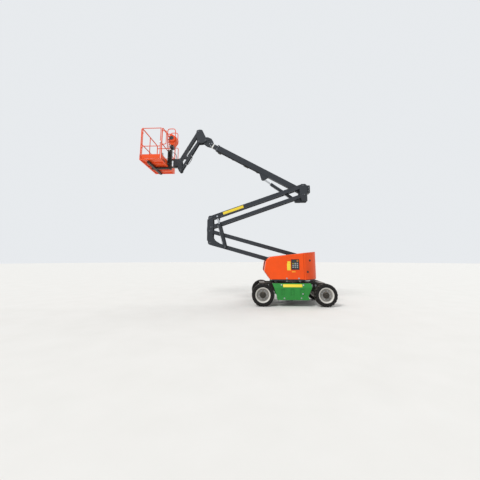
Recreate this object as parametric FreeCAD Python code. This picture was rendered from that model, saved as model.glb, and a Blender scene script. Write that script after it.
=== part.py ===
import FreeCAD, Part
import math
import os

# Articulating boom lift, in millimetres.
# +X points forward to the platform, +Y to the machine's left, +Z up.
# The origin is on the ground under the slewing axis.
# Sideways sizes are distances from the machine's middle plane.

V = FreeCAD.Vector

# Fits and gaps
PIN_FIT = 0.05          # radial clearance of a pin in its bush
SEAT_GAP = 0.3          # running gap between faces that slide or turn on each other
SIDE_GAP = 5.0          # gap beside a moving plate, arm or eye
PIN_STAND = 10.0        # what a pin's end stands out of its plate
SEAM_TURN = 37.0        # turns a round bar's seam away from the flats and bars that meet it

# Wheels and axles
WHEEL_BASE = 2000.0
OVERALL_WIDTH = 1750.0
TYRE_RADIUS = 355.0
TYRE_WIDTH = 250.0
TYRE_SHOULDER = 30.0
SIDEWALL_DEPTH = 60.0
BEAD_INSET = 25.0
LUG_COUNT = 20
LUG_DEPTH = 20.0
LUG_GROOVE = 34.0
LUG_LEAN = 24.0
LUG_DROP = 14.0
RIM_RADIUS = 226.0
RIM_LIP = 14.0
LIP_THICKNESS = 9.0
RIM_WALL = 12.0
RIM_DISH = 62.0
DISC_THICKNESS = 14.0
HUB_RADIUS = 92.0
HUB_BACK = 50.0
SPINDLE_RADIUS = 35.0
KINGPIN_INSET = 140.0           # from the wheel's middle plane in to the kingpin
KINGPIN_RADIUS = 22.0
FORK_THICKNESS = 20.0
FORK_GAP = 100.0
STEER_ARM = (-160.0, -50.0)     # from the left kingpin to the tie rod's end
STEER_ARM_THICKNESS = 25.0
TIE_ROD_RADIUS = 11.0
AXLE_HEIGHT = 140.0
AXLE_DEPTH = 120.0
AXLE_SEAT = 5.0                 # the pad on an axle's top, which the frame stands on

# Chassis
FRAME_HALF_WIDTH = 380.0
RAIL_WIDTH = 80.0
FRAME_DEPTH = 270.0
FRAME_OVERHANG = 90.0
DECK_THICKNESS = 20.0
DECK_HALF_LENGTH = 560.0
CROSS_MEMBER = 60.0
WING_THICKNESS = 20.0
WING_X = (-400.0, 0.0, 400.0)
WING_LOW = 300.0
TYRE_ROOM = 20.0
COVER_INSET = 25.0
COVER_DEPTH = 250.0
COVER_SKIN = 12.0
COVER_BAND = 125.0
COVER_BEVEL = 70.0
COVER_CORNER = 14.0
COVER_RISE = 15.0
RECESS_DEPTH = 18.0
RECESS_X = ((-313.0, -185.0), (0.0, 115.0), (295.0, 405.0))
RECESS_Z = (345.0, 550.0)
LASHING_X = (-500.0, 620.0)
LASHING_BORE = 18.0
LASHING_HALF = 34.0
LASHING_DROP = 235.0
LASHING_THICKNESS = 20.0

# Slewing bearing and turntable
RING_OUTER = 460.0
RING_INNER = 360.0
RING_HEIGHT = 45.0
RACE_HEIGHT = 35.0
TRAY_THICKNESS = 34.0
HOOD_INNER_Y = 330.0
HOOD_OUTER_Y = 780.0
HOOD_WALL = 6.0
HOOD_EDGE = 45.0
HOOD_HINGE = (345.0, 1560.0)
HINGE_RADIUS = 12.0
HINGE_KNUCKLE = 20.0
TAIL_RADIUS = 870.0
HOOD_FROM_TAIL = 535.0          # from the tail's rearmost point forward to the hood's seam
CHANNEL_HALF = 240.0
TAIL_WALL = 95.0
NOSE_X = 944.0
NOSE_HEIGHT = 266.0
NOSE_UNDERCUT = 184.0
ROOF_FRONT = (868.0, 1552.0)
ROOF_REAR_Z = 1683.0
TRAY_FRONT_X = 700.0

# Lanes across the machine
BEAM_LANE = (90.0, 160.0)
PLATE_LANE = (165.0, 185.0)
OUTBOARD_Y = 240.0
INNER_PLATE_LANE = (62.0, 82.0)
RISER_LUG_LANE = (50.0, 70.0)

# Risers: two parallelograms, one on the other
RISER_LENGTH = 3574.0
LOWER_RISER_ANGLE = 15.8
UPPER_RISER_ANGLE = 19.1
ARM_HALF = 70.0
LINK_HALF = 60.0
ARM_WALL = 6.0
ARM_END_BLOCK = 120.0
TIE_TUBE_RADIUS = 32.0
PIN_RADIUS = 30.0
MAST_FROM_TAIL = 271.0
MAST_PIN_Z = 1087.0
LOWER_PAIR = (15.0, 423.0)       # from the lower arm's pin to the link's pin
KNUCKLE_RISE = (10.0, 892.0)     # from the lower arm's pin to the upper arm's pin on the knuckle
UPPER_PAIR = (-40.0, -335.0)     # from the upper arm's pin to the link's pin
RISER_FOOT = (449.0, -157.0)     # from the lower arm's mast pin
RISER_EYE = 1500.0               # along the lower arm
KNUCKLE_FOOT = (-550.0, -160.0)  # from the lower arm's knuckle pin
KNUCKLE_EYE = (275.0, 46.0)      # from the upper arm's knuckle pin, along it and square to it

# Main boom and fly
BOOM_FROM_UPPER_PIN = (30.0, -196.0)
BOOM_ANGLE = 29.2
BOOM_LENGTH = 3609.0
BOOM_HALF = 105.0
BOOM_SIDE = 75.0
BOOM_WALL = 8.0
BOOM_ROOT = 250.0
COLLAR_LENGTH = 70.0
COLLAR_STEP = (12.0, 8.0)
LIFT_FOOT = (200.0, -335.5)      # from the boom's pin
LIFT_EYE = (1484.0, -237.0)      # along the boom and square to it
FLY_HALF = 80.0
FLY_SIDE = 55.0
FLY_WALL = 7.0
FLY_OVERLAP = 1909.0             # how much of the fly is inside the boom
FLY_OUT = 351.0                  # how much of the fly's tube is out of the boom
HEAD_FROM_BOOM = (530.0, 38.0)   # from the boom's end, along it and square to it

# Jib and platform mount
JIB_ANGLE = -60.0
JIB_LENGTH = 1323.0
JIB_TOP_FROM_HEAD = (286.0, 361.0)
JIB_PAIR = (-30.0, -400.0)
JIB_HALF = 60.0
JIB_SIDE = 55.0
JIB_LINK_HALF = 42.0
JIB_LINK_LANE = (65.0, 83.0)
JIB_PLATE_LANE = (90.0, 105.0)
JIB_PIN_RADIUS = 22.0
HEAD_PIN_RADIUS = 28.0
JIB_FOOT_PIN_RADIUS = 18.0
JIB_FOOT = (-20.0, -330.0)       # from the jib arm's top pin
JIB_EYE = (1100.0, -140.0)       # along the jib arm and square to it

# Platform, from the jib arm's low pin
ROTATOR_AHEAD = 205.0
ROTATOR_RADIUS = 85.0
ROTATOR_Z = (-233.0, 42.0)
SHAFT_RADIUS = 40.0
ARM_PLATE = 25.0
POST_FROM_ROTATOR = (150.0, 240.0)
POST_HEIGHT = 690.0
POST_HALF = 60.0
PLATFORM_AHEAD = 470.0
PLATFORM_LENGTH = 794.0
PLATFORM_WIDTH = 1662.0
PLATFORM_DROP = 237.0
PLATFORM_BEAM = 70.0
FLOOR_DEPTH = 40.0
FLOOR_RIM = 40.0
RAIL_HEIGHT = 1240.0
RAIL_RADIUS = 19.0
MIDDLE_RAIL_RADIUS = 16.0
RAIL_BEND = 90.0
TOE_HEIGHT = 170.0
TOE_THICKNESS = 5.0
HOOP_RADIUS = 14.0
GATE_RADIUS = 14.0
GATE_WIDTH = 660.0

# Hoses
HOSE_RADIUS = 11.0
HOSE_BEND = 150.0
HOSE_Y = 20.0
HOSE_FROM_ROTATOR = 50.0
HOSE_BELOW_POST = 110.0
JIB_HOSE_BEND = 90.0


def box(x, y, z):
    """A block between two x, two y and two z values."""
    return Part.makeBox(x[1] - x[0], y[1] - y[0], z[1] - z[0], V(x[0], y[0], z[0]))


def about(middle, half):
    return (middle - half, middle + half)


def symmetric(half):
    return (-half, half)


def fuse(*shapes):
    return shapes[0].multiFuse(list(shapes[1:])).removeSplitter()


def mirrored(shape):
    return shape.mirror(V(0, 0, 0), V(0, 1, 0))


def both(*shapes):
    """The shapes and their mirror images across the machine's middle plane."""
    return list(shapes) + [mirrored(s) for s in shapes]


def shifted(point, step):
    return (point[0] + step[0], point[1] + step[1])


def placed(origin, steps):
    """Places at (x, z) steps from an origin. A third value, a corner's radius, is kept."""
    return [shifted(origin, step) + tuple(step[2:]) for step in steps]


def polar(point, length, degrees):
    turn = math.radians(degrees)
    return (point[0] + length * math.cos(turn), point[1] + length * math.sin(turn))


def on_axis(origin, degrees, along, above=0.0):
    """The (x, z) place at a distance along a sloping axis and square to it."""
    return polar(polar(origin, along, degrees), above, degrees + 90)


def rounded_wire(corners, y):
    """A closed wire in a lengthwise plane through (x, z, radius) corners, each rounded by its radius."""
    spots = [V(c[0], y, c[1]) for c in corners]
    turns = []
    for i, corner in enumerate(corners):
        back = spots[i - 1] - spots[i]
        ahead = spots[(i + 1) % len(spots)] - spots[i]
        half_angle = back.getAngle(ahead) / 2
        reach = min(corner[2] / math.tan(half_angle), 0.45 * back.Length, 0.45 * ahead.Length)
        bend = reach * math.tan(half_angle)
        inward = (back.normalize() + ahead.normalize()).normalize()
        middle = spots[i] + inward * (bend / math.sin(half_angle) - bend)
        turns.append((spots[i] + back * reach, middle, spots[i] + ahead * reach))
    edges = []
    for i, (start, middle, end) in enumerate(turns):
        if corners[i][2]:
            edges.append(Part.Arc(start, middle, end).toShape())
        edges.append(Part.LineSegment(end, turns[(i + 1) % len(turns)][0]).toShape())
    return Part.Wire(edges)


def plate(corners, y, radius=0.0):
    """A flat plate with (x, z) corners, between two y values. A corner may name its own radius."""
    wire = rounded_wire([(c[0], c[1], c[2] if len(c) > 2 else radius) for c in corners], y[0])
    return Part.Face(wire).extrude(V(0, y[1] - y[0], 0))


def across(centre, radius, y):
    """A round bar along Y about an (x, z) centre, between two y values."""
    return Part.makeCylinder(radius, y[1] - y[0], V(centre[0], y[0], centre[1]), V(0, 1, 0))


def upright_bar(x, y, radius, z):
    return Part.makeCylinder(radius, z[1] - z[0], V(x, y, z[0]))


def span(start, end, radius):
    """A round bar between two points in space."""
    way = V(*end) - V(*start)
    bar = Part.makeCylinder(radius, way.Length, V(*start), way)
    return bar.rotate(V(*start), way, SEAM_TURN)


def bent_tube(points, radius, bend):
    """A round bar along straight runs whose corners are arcs of one radius."""
    spots = [V(*p) for p in points]
    pieces = []
    start = spots[0]
    for before, corner, after in zip(spots, spots[1:], spots[2:]):
        back = (before - corner).normalize()
        ahead = (after - corner).normalize()
        half_angle = back.getAngle(ahead) / 2
        reach = bend / math.tan(half_angle)
        centre = corner + (back + ahead).normalize() * (bend / math.sin(half_angle))
        turn_start = corner + back * reach
        section = Part.Face(Part.Wire(Part.makeCircle(radius, turn_start, back * -1)))
        section.rotate(turn_start, back, SEAM_TURN)
        pieces.append(span(start, turn_start, radius))
        pieces.append(section.revolve(centre, ahead.cross(back), 180 - math.degrees(2 * half_angle)))
        start = corner + ahead * reach
    pieces.append(span(start, spots[-1], radius))
    return fuse(*pieces)


def strip(start, end, half, y):
    """A bar with round ends about two (x, z) pins."""
    turn = math.degrees(math.atan2(end[1] - start[1], end[0] - start[0]))
    reach = math.dist(start, end)

    def corner(along, above):
        px, pz = on_axis(start, turn, along, above)
        return V(px, y[0], pz)

    edges = [
        Part.LineSegment(corner(0, half), corner(reach, half)),
        Part.Arc(corner(reach, half), corner(reach + half, 0), corner(reach, -half)),
        Part.LineSegment(corner(reach, -half), corner(0, -half)),
        Part.Arc(corner(0, -half), corner(-half, 0), corner(0, half)),
    ]
    wire = Part.Wire([e.toShape() for e in edges])
    return Part.Face(wire).extrude(V(0, y[1] - y[0], 0))


def flat_bar(start, end, half, z):
    """A flat bar with round ends between two (x, y) places and two z values."""
    reach = math.dist(start, end)
    bar = Part.makeBox(reach, 2 * half, z[1] - z[0], V(0, -half, z[0]))
    bar.rotate(V(0, 0, 0), V(0, 0, 1), math.degrees(math.atan2(end[1] - start[1], end[0] - start[0])))
    bar.translate(V(start[0], start[1], 0))
    return fuse(bar, upright_bar(*start, half, z), upright_bar(*end, half, z))


def sloping_box(origin, degrees, along, above, y):
    """A block whose length follows a sloping axis in the middle plane."""
    block = box(along, y, above)
    block.rotate(V(0, 0, 0), V(0, 1, 0), -degrees)
    block.translate(V(origin[0], 0, origin[1]))
    return block


def beam(start, end, half, y, wall, end_block):
    """A closed box beam with round, solid ends about two pins."""
    turn = math.degrees(math.atan2(end[1] - start[1], end[0] - start[0]))
    reach = math.dist(start, end)
    hollow = sloping_box(start, turn, (end_block, reach - end_block), symmetric(half - wall),
                         (y[0] + wall, y[1] - wall))
    return strip(start, end, half, y).cut(hollow)


def bored(shape, pins, radius):
    """The shape with a bore along Y about each (x, z) pin."""
    return shape.cut([across(p, radius + PIN_FIT, symmetric(OVERALL_WIDTH / 2)) for p in pins])


# Heights and places that follow from the driving sizes
wheel_y = (OVERALL_WIDTH - TYRE_WIDTH) / 2
kingpin_y = wheel_y - KINGPIN_INSET
motor_end_y = wheel_y - 55
front_x = WHEEL_BASE / 2
rear_x = -WHEEL_BASE / 2
frame_bottom = TYRE_RADIUS + AXLE_HEIGHT / 2 + AXLE_SEAT
frame_top = frame_bottom + FRAME_DEPTH
deck_top = frame_top + DECK_THICKNESS
cover_outer_y = OVERALL_WIDTH / 2 - COVER_INSET
cover_inner_y = cover_outer_y - COVER_DEPTH
cover_top = frame_top + COVER_RISE
tray_bottom = deck_top + RING_HEIGHT + RACE_HEIGHT
tray_top = tray_bottom + TRAY_THICKNESS
hood_rear_x = HOOD_FROM_TAIL - TAIL_RADIUS

lower_pin = (MAST_FROM_TAIL - TAIL_RADIUS, MAST_PIN_Z)
lower_link_pin = shifted(lower_pin, LOWER_PAIR)
riser_foot = shifted(lower_pin, RISER_FOOT)
riser_eye = polar(lower_pin, RISER_EYE, LOWER_RISER_ANGLE)
knuckle_pin = polar(lower_pin, RISER_LENGTH, LOWER_RISER_ANGLE)
knuckle_link_pin = shifted(knuckle_pin, LOWER_PAIR)
knuckle_upper_pin = shifted(knuckle_pin, KNUCKLE_RISE)
knuckle_upper_link_pin = shifted(knuckle_upper_pin, UPPER_PAIR)
knuckle_foot = shifted(knuckle_pin, KNUCKLE_FOOT)
knuckle_eye = on_axis(knuckle_upper_pin, 180 - UPPER_RISER_ANGLE, *KNUCKLE_EYE)
upright_pin = polar(knuckle_upper_pin, RISER_LENGTH, 180 - UPPER_RISER_ANGLE)
upright_link_pin = shifted(upright_pin, UPPER_PAIR)
boom_pin = shifted(upright_pin, BOOM_FROM_UPPER_PIN)
lift_foot = shifted(boom_pin, LIFT_FOOT)
lift_eye = on_axis(boom_pin, BOOM_ANGLE, *LIFT_EYE)
head_along = BOOM_LENGTH + HEAD_FROM_BOOM[0]
head_pin = on_axis(boom_pin, BOOM_ANGLE, head_along, HEAD_FROM_BOOM[1])
jib_top = shifted(head_pin, JIB_TOP_FROM_HEAD)
jib_link_top = shifted(jib_top, JIB_PAIR)
jib_low = polar(jib_top, JIB_LENGTH, JIB_ANGLE)
jib_link_low = shifted(jib_low, JIB_PAIR)
jib_foot = shifted(jib_top, JIB_FOOT)
jib_eye = on_axis(jib_top, JIB_ANGLE, *JIB_EYE)

rotator_x = jib_low[0] + ROTATOR_AHEAD
rotator_z = (jib_low[1] + ROTATOR_Z[0], jib_low[1] + ROTATOR_Z[1])
post_x = (rotator_x + POST_FROM_ROTATOR[0], rotator_x + POST_FROM_ROTATOR[1])
platform_x = (jib_low[0] + PLATFORM_AHEAD, jib_low[0] + PLATFORM_AHEAD + PLATFORM_LENGTH)
platform_z = jib_low[1] - PLATFORM_DROP
floor_z = platform_z + FLOOR_DEPTH
post_top = platform_z + POST_HEIGHT
rail_rear_x = platform_x[0] + RAIL_RADIUS + 1
rail_front_x = platform_x[1] - RAIL_RADIUS - 1
rail_y = PLATFORM_WIDTH / 2 - RAIL_RADIUS - 1
rail_top = platform_z + RAIL_HEIGHT - RAIL_RADIUS
rail_middle = (floor_z + rail_top) / 2 - 15
gate_x = (rail_front_x - GATE_WIDTH - 43, rail_front_x - 43)


def ram(foot, eye, barrel_radius, rod_radius, neck, barrel_length, rod_length, foot_half, eye_half, pin, y):
    """A cylinder's barrel and rod between a foot pin and a rod's eye."""
    turn = math.degrees(math.atan2(eye[1] - foot[1], eye[0] - foot[0]))
    way = V(math.cos(math.radians(turn)), 0, math.sin(math.radians(turn)))
    foot_at = V(foot[0], y, foot[1])
    eye_at = V(eye[0], y, eye[1])
    foot_eye = barrel_radius * 0.85
    gland_length = barrel_radius
    bore_start = neck + barrel_radius / 2
    barrel = Part.makeCylinder(barrel_radius, barrel_length - neck, foot_at + way * neck, way)
    gland = Part.makeCylinder(barrel_radius + 4, gland_length, foot_at + way * (barrel_length - gland_length), way)
    shank = sloping_box(foot, turn, (0, bore_start), symmetric(foot_eye * 0.8), about(y, foot_half * 0.9))
    bore = Part.makeCylinder(rod_radius + PIN_FIT, barrel_length - bore_start, foot_at + way * bore_start, way)
    pin_bore = across(foot, pin + PIN_FIT, about(y, 2 * foot_half))
    barrel = fuse(barrel, gland, shank, across(foot, foot_eye, about(y, foot_half))).cut([bore, pin_bore])
    rod = Part.makeCylinder(rod_radius, rod_length, eye_at, way * -1)
    rod = fuse(rod, across(eye, rod_radius * 1.45, about(y, eye_half)))
    return barrel, rod


# Chassis


def steering_space():
    """The ball that the left steered tyre sweeps about its kingpin, with room to spare."""
    radius = math.hypot(TYRE_RADIUS, OVERALL_WIDTH / 2 - kingpin_y) + TYRE_ROOM
    return Part.makeSphere(radius, V(front_x, kingpin_y, TYRE_RADIUS))


def chassis_frame():
    rail_lane = (FRAME_HALF_WIDTH - RAIL_WIDTH, FRAME_HALF_WIDTH)
    inside = symmetric(FRAME_HALF_WIDTH - RAIL_WIDTH)
    depth = (frame_bottom, frame_top)
    rails = both(box((rear_x - FRAME_OVERHANG, front_x + FRAME_OVERHANG), rail_lane, depth))
    cross_x = (rear_x, -DECK_HALF_LENGTH * 0.75, 0, DECK_HALF_LENGTH * 0.75, front_x)
    cross = [box(about(x, CROSS_MEMBER / 2), inside, depth) for x in cross_x]
    deck = box(symmetric(DECK_HALF_LENGTH), symmetric(cover_inner_y), (frame_top, deck_top))
    wings = [wing for x in WING_X
             for wing in both(box(about(x, WING_THICKNESS / 2), (FRAME_HALF_WIDTH, cover_inner_y),
                                  (WING_LOW, frame_top)))]
    ends = [box(about(x, FRAME_OVERHANG), inside, (frame_top - DECK_THICKNESS, frame_top)) for x in (rear_x, front_x)]
    return fuse(*rails, *cross, deck, *wings, *ends)


# Side cover outline: x from the front or the rear axle, and z, or z from the cover's top
COVER_FRONT = [(-465.0, 210.0), (-440.0, 322.0), (-360.0, 583.0)]
COVER_FRONT_TOP = -308.0
COVER_REAR_TOP = 450.0
COVER_REAR = [(437.0, 583.0), (567.0, 322.0), (527.0, 210.0)]


def side_cover():
    """The left side's cover: a pressed skin with returned edges, three recesses and a bevelled upper band."""
    corners = ([(front_x + dx, z) for dx, z in COVER_FRONT] + [(front_x + COVER_FRONT_TOP, cover_top),
               (rear_x + COVER_REAR_TOP, cover_top)] + [(rear_x + dx, z) for dx, z in COVER_REAR])
    cover = plate(corners, (cover_inner_y, cover_outer_y), COVER_CORNER)
    band_z = cover_top - COVER_BAND
    bevel_edge = [V(rear_x, cover_outer_y + 1, band_z), V(rear_x, cover_outer_y + 1, cover_top + 1),
                  V(rear_x, cover_outer_y - COVER_BEVEL, cover_top + 1), V(rear_x, cover_outer_y, band_z)]
    bevel = Part.Face(Part.makePolygon(bevel_edge + bevel_edge[:1])).extrude(V(WHEEL_BASE, 0, 0))
    recesses = [box(x, (cover_outer_y - RECESS_DEPTH, cover_outer_y + 1), RECESS_Z) for x in RECESS_X]
    skin_y = cover_outer_y - RECESS_DEPTH - COVER_SKIN
    pocket = box((WING_X[0], RECESS_X[-1][1]), (cover_inner_y - 1, skin_y), (COVER_FRONT[0][1] + COVER_SKIN, band_z - 20))
    return cover.cut([bevel, *recesses, pocket, steering_space()])


def lashing_eyes():
    """Tie-down plates under the frame's rails, each with a round hole."""
    eyes = []
    y = (FRAME_HALF_WIDTH - LASHING_THICKNESS, FRAME_HALF_WIDTH)
    for x in LASHING_X:
        middle = frame_bottom - LASHING_DROP + LASHING_HALF
        eye = fuse(across((x, middle), LASHING_HALF, y), box(about(x, LASHING_HALF), y, (middle, frame_bottom)))
        eyes += both(eye.cut(across((x, middle), LASHING_BORE, symmetric(FRAME_HALF_WIDTH + 1))))
    return eyes


def axle_beam(x, half_length):
    return box(about(x, AXLE_DEPTH / 2), symmetric(half_length), (TYRE_RADIUS - AXLE_HEIGHT / 2, frame_bottom))


def front_axle():
    body = axle_beam(front_x, kingpin_y - 120)
    forks = []
    for low in (TYRE_RADIUS - FORK_GAP / 2 - FORK_THICKNESS, TYRE_RADIUS + FORK_GAP / 2):
        z = (low, low + FORK_THICKNESS)
        forks += both(fuse(box(about(front_x, 40), (kingpin_y - 130, kingpin_y), z),
                           upright_bar(front_x, kingpin_y, 40, z)))
    reach = FORK_GAP / 2 + FORK_THICKNESS
    pins = both(upright_bar(front_x, kingpin_y, KINGPIN_RADIUS, about(TYRE_RADIUS, reach + 8)))
    return fuse(body, *forks, *pins)


def rear_axle():
    end = kingpin_y - 60
    body = axle_beam(rear_x, end)
    motors = both(across((rear_x, TYRE_RADIUS), 88, (end, motor_end_y)))
    spindles = both(across((rear_x, TYRE_RADIUS), SPINDLE_RADIUS, (end, wheel_y + 60)))
    return fuse(body, *motors, *spindles)


def steer_knuckle():
    """The left kingpin's barrel with its drive motor, spindle and steering arm."""
    kingpin = (front_x, kingpin_y)
    barrel = upright_bar(*kingpin, 44, about(TYRE_RADIUS, FORK_GAP / 2 - SEAT_GAP))
    motor = across((front_x, TYRE_RADIUS), 49, (kingpin_y, motor_end_y))
    spindle = across((front_x, TYRE_RADIUS), SPINDLE_RADIUS, (kingpin_y, wheel_y + 60))
    arm = flat_bar(kingpin, shifted(kingpin, STEER_ARM), 18, (TYRE_RADIUS - 10, TYRE_RADIUS - 10 + STEER_ARM_THICKNESS))
    bore = upright_bar(*kingpin, KINGPIN_RADIUS + PIN_FIT, about(TYRE_RADIUS, FORK_GAP))
    return fuse(barrel, motor, spindle, arm).cut(bore)


def tie_rod():
    x, y = shifted((front_x, kingpin_y), STEER_ARM)
    low = TYRE_RADIUS - 10 + STEER_ARM_THICKNESS + SEAT_GAP
    ends = both(upright_bar(x, y, 20, (low, low + 28)))
    bar = Part.makeCylinder(TIE_ROD_RADIUS, 2 * y, V(x, -y, low + 14), V(0, 1, 0))
    return fuse(bar, *ends)


# Wheels, made about the Y axis with the outer face towards +Y


def wheel_place(shape, x, side):
    shape = shape.copy() if side > 0 else mirrored(shape)
    shape.translate(V(x, side * wheel_y, TYRE_RADIUS))
    return shape


def turned(points):
    """A ring turned about Y from an outline of (radius, y) points."""
    corners = [V(r, y, 0) for r, y in points]
    wire = Part.makePolygon(corners + corners[:1])
    return Part.Face(wire).revolve(V(0, 0, 0), V(0, 1, 0), 360)


def tyre():
    """A solid-fill tyre whose two rows of lugs are left standing between leaning grooves."""
    half = TYRE_WIDTH / 2
    edge = TYRE_RADIUS - TYRE_SHOULDER
    bead = half - BEAD_INSET
    neck = RIM_RADIUS + RIM_LIP + 2
    carcass = turned([(RIM_RADIUS, -bead), (neck, -bead), (edge - SIDEWALL_DEPTH, -half), (edge, -half),
                      (TYRE_RADIUS, -half + TYRE_SHOULDER), (TYRE_RADIUS, half - TYRE_SHOULDER), (edge, half),
                      (edge - SIDEWALL_DEPTH, half), (neck, bead), (RIM_RADIUS, bead)])
    groove = Part.makeBox(LUG_GROOVE, half + 20, LUG_DEPTH + 60, V(-LUG_GROOVE / 2, -8, 0))
    groove.rotate(V(0, 0, 0), V(1, 0, 0), -LUG_DROP)
    groove.rotate(V(0, 0, 0), V(0, 0, 1), LUG_LEAN)
    groove.translate(V(0, 0, TYRE_RADIUS - LUG_DEPTH))
    pitch = 360 / LUG_COUNT
    grooves = []
    for i in range(LUG_COUNT):
        left = groove.copy()
        left.rotate(V(0, 0, 0), V(0, 1, 0), i * pitch)
        right = mirrored(groove)
        right.rotate(V(0, 0, 0), V(0, 1, 0), (i + 0.5) * pitch)
        grooves += [left, right]
    return carcass.cut(grooves)


def rim():
    """A rolled rim with outturned lips, a dished disc and the hub's drum."""
    bead = TYRE_WIDTH / 2 - BEAD_INSET
    lip = RIM_RADIUS + RIM_LIP
    inner = RIM_RADIUS - RIM_WALL
    disc = bead - RIM_DISH
    barrel = turned([(RIM_RADIUS, -bead), (lip, -bead), (lip, -bead - LIP_THICKNESS), (RIM_RADIUS, -bead - LIP_THICKNESS),
                     (inner - 10, -bead + 14), (inner, -bead + 45), (inner, disc - 10), (inner - 22, disc + 8),
                     (inner - 12, bead - 12), (RIM_RADIUS, bead + LIP_THICKNESS), (lip, bead + LIP_THICKNESS), (lip, bead),
                     (RIM_RADIUS, bead)])
    fit = SPINDLE_RADIUS + PIN_FIT
    web = turned([(fit, disc - DISC_THICKNESS), (inner + 2, disc - DISC_THICKNESS), (inner + 2, disc), (fit, disc)])
    hub_face = bead + LIP_THICKNESS - 4
    hub = turned([(fit, -HUB_BACK), (HUB_RADIUS, -HUB_BACK), (HUB_RADIUS, hub_face - 12), (HUB_RADIUS - 16, hub_face),
                  (fit, hub_face)])
    return fuse(barrel, web, hub)


def slew_ring():
    ring = Part.makeCylinder(RING_OUTER, RING_HEIGHT, V(0, 0, deck_top))
    return ring.cut(Part.makeCylinder(RING_INNER, RING_HEIGHT, V(0, 0, deck_top)))


# Turntable

# Mast plate corners from the lower arm's pin, up from its foot in the tray
MAST_STEPS = [(119.0, 113.0, 200.0), (99.0, 498.0, 60.0), (-71.0, 498.0, 60.0), (-121.0, 313.0, 90.0)]
MAST_FOOT = (-161.0, 319.0)
LUG_FOOT = (-80.0, 80.0)
LUG_TOP = (-42.0, 42.0, 46.0)

# Hood hinge pins: where each pin starts, and where its bracket starts, along the machine.
# The rear hinge keeps its place from the hood's seam, and the front one from the tray's front.
REAR_HINGE = hood_rear_x + 85
FRONT_HINGE = TRAY_FRONT_X - 220
HINGE_PINS = [(REAR_HINGE, REAR_HINGE), (FRONT_HINGE, FRONT_HINGE + 25)]
HINGE_PIN_LENGTH = 60.0
HANGER_STARTS = (REAR_HINGE + 38, FRONT_HINGE + 2)
ROOF_SLOPE = (ROOF_REAR_Z - ROOF_FRONT[1]) / (ROOF_FRONT[0] - hood_rear_x)


def roof_height(x):
    return ROOF_FRONT[1] + ROOF_SLOPE * (ROOF_FRONT[0] - x)


def turntable_frame():
    race_low = deck_top + RING_HEIGHT + SEAT_GAP
    race = Part.makeCylinder(RING_OUTER - 10, tray_bottom - race_low, V(0, 0, race_low))
    race = race.cut(Part.makeCylinder(RING_INNER - 40, RACE_HEIGHT, V(0, 0, race_low - 1)))
    tray_z = (tray_bottom, tray_top - SEAT_GAP)
    tail = Part.makeCylinder(TAIL_RADIUS - 20, TRAY_THICKNESS, V(0, 0, tray_bottom))
    front = box((0, TAIL_RADIUS), symmetric(TAIL_RADIUS), (tray_bottom, tray_top))
    tray = box((20 - TAIL_RADIUS, TRAY_FRONT_X), symmetric(HOOD_OUTER_Y - 20), tray_z).common(fuse(tail, front))
    lower_x = lower_pin[0]
    foot_z = tray_bottom + TRAY_THICKNESS / 2
    mast = plate([(lower_x + MAST_FOOT[0], foot_z), (lower_x + MAST_FOOT[1], foot_z)] + placed(lower_pin, MAST_STEPS),
                 PLATE_LANE)
    walls = both(box((hood_rear_x + 10, TRAY_FRONT_X - 60), (HOOD_INNER_Y - 15, HOOD_INNER_Y - SIDE_GAP),
                     (foot_z, HOOD_HINGE[1] - 25)))
    pins = [across(p, PIN_RADIUS, symmetric(PLATE_LANE[1] + PIN_STAND)) for p in (lower_pin, lower_link_pin)]
    foot_x, pin_z = riser_foot
    lug = plate([(foot_x + LUG_FOOT[0], foot_z), (foot_x + LUG_FOOT[1], foot_z),
                 (foot_x + LUG_TOP[1], pin_z + LUG_TOP[2], 40), (foot_x + LUG_TOP[0], pin_z + LUG_TOP[2], 40)],
                RISER_LUG_LANE)
    foot_pin = across(riser_foot, PIN_RADIUS, symmetric(RISER_LUG_LANE[1] + PIN_STAND))
    hinge_y, hinge_z = HOOD_HINGE
    hinges = []
    for start, along in HINGE_PINS:
        hinges.append(Part.makeCylinder(HINGE_RADIUS, HINGE_PIN_LENGTH, V(start, hinge_y, hinge_z), V(1, 0, 0)))
        hinges.append(box((along, along + 35), (HOOD_INNER_Y - 15, hinge_y), (hinge_z - 60, hinge_z - 4)))
    return fuse(race, tray, *both(mast, lug, *hinges), *walls, *pins, foot_pin)


# Counterweight: the tail's top rises from the seam, and the side holes lie square across it
TAIL_TOP = [(-306.0, 1717.0, 60.0), (-545.0, 1740.0, 0.0)]
TAIL_HOLES = [(-226.0, 1442.0), (-134.0, 1078.0)]
HOLE_RADIUS = 25.0
HOLE_DEPTH = 120.0


def tail_edge_y(x):
    return min(HOOD_OUTER_Y, math.sqrt(TAIL_RADIUS ** 2 - x ** 2))


def counterweight():
    """The cast tail, round behind, with a channel for the risers and two through holes each side."""
    seam = hood_rear_x - 6
    profile = plate([(seam, tray_top), (seam, ROOF_REAR_Z)] + [(hood_rear_x + dx, z, r) for dx, z, r in TAIL_TOP]
                    + [(hood_rear_x + TAIL_TOP[-1][0], tray_top)], symmetric(HOOD_OUTER_Y))
    body = profile.common(Part.makeCylinder(TAIL_RADIUS, TAIL_TOP[-1][1], V(0, 0, tray_top)))
    channel = box((TAIL_WALL - TAIL_RADIUS, 0), symmetric(CHANNEL_HALF), (tray_top - 1, TAIL_TOP[-1][1]))
    notch = box((-TAIL_RADIUS, TAIL_WALL - TAIL_RADIUS + 60), symmetric(CHANNEL_HALF), (1450, TAIL_TOP[-1][1]))
    holes = []
    for dx, z in TAIL_HOLES:
        x = hood_rear_x + dx
        holes += both(across((x, z), HOLE_RADIUS, (tail_edge_y(x) - HOLE_DEPTH, HOOD_OUTER_Y + 1)))
    return body.cut([channel, notch, *holes])


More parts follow.
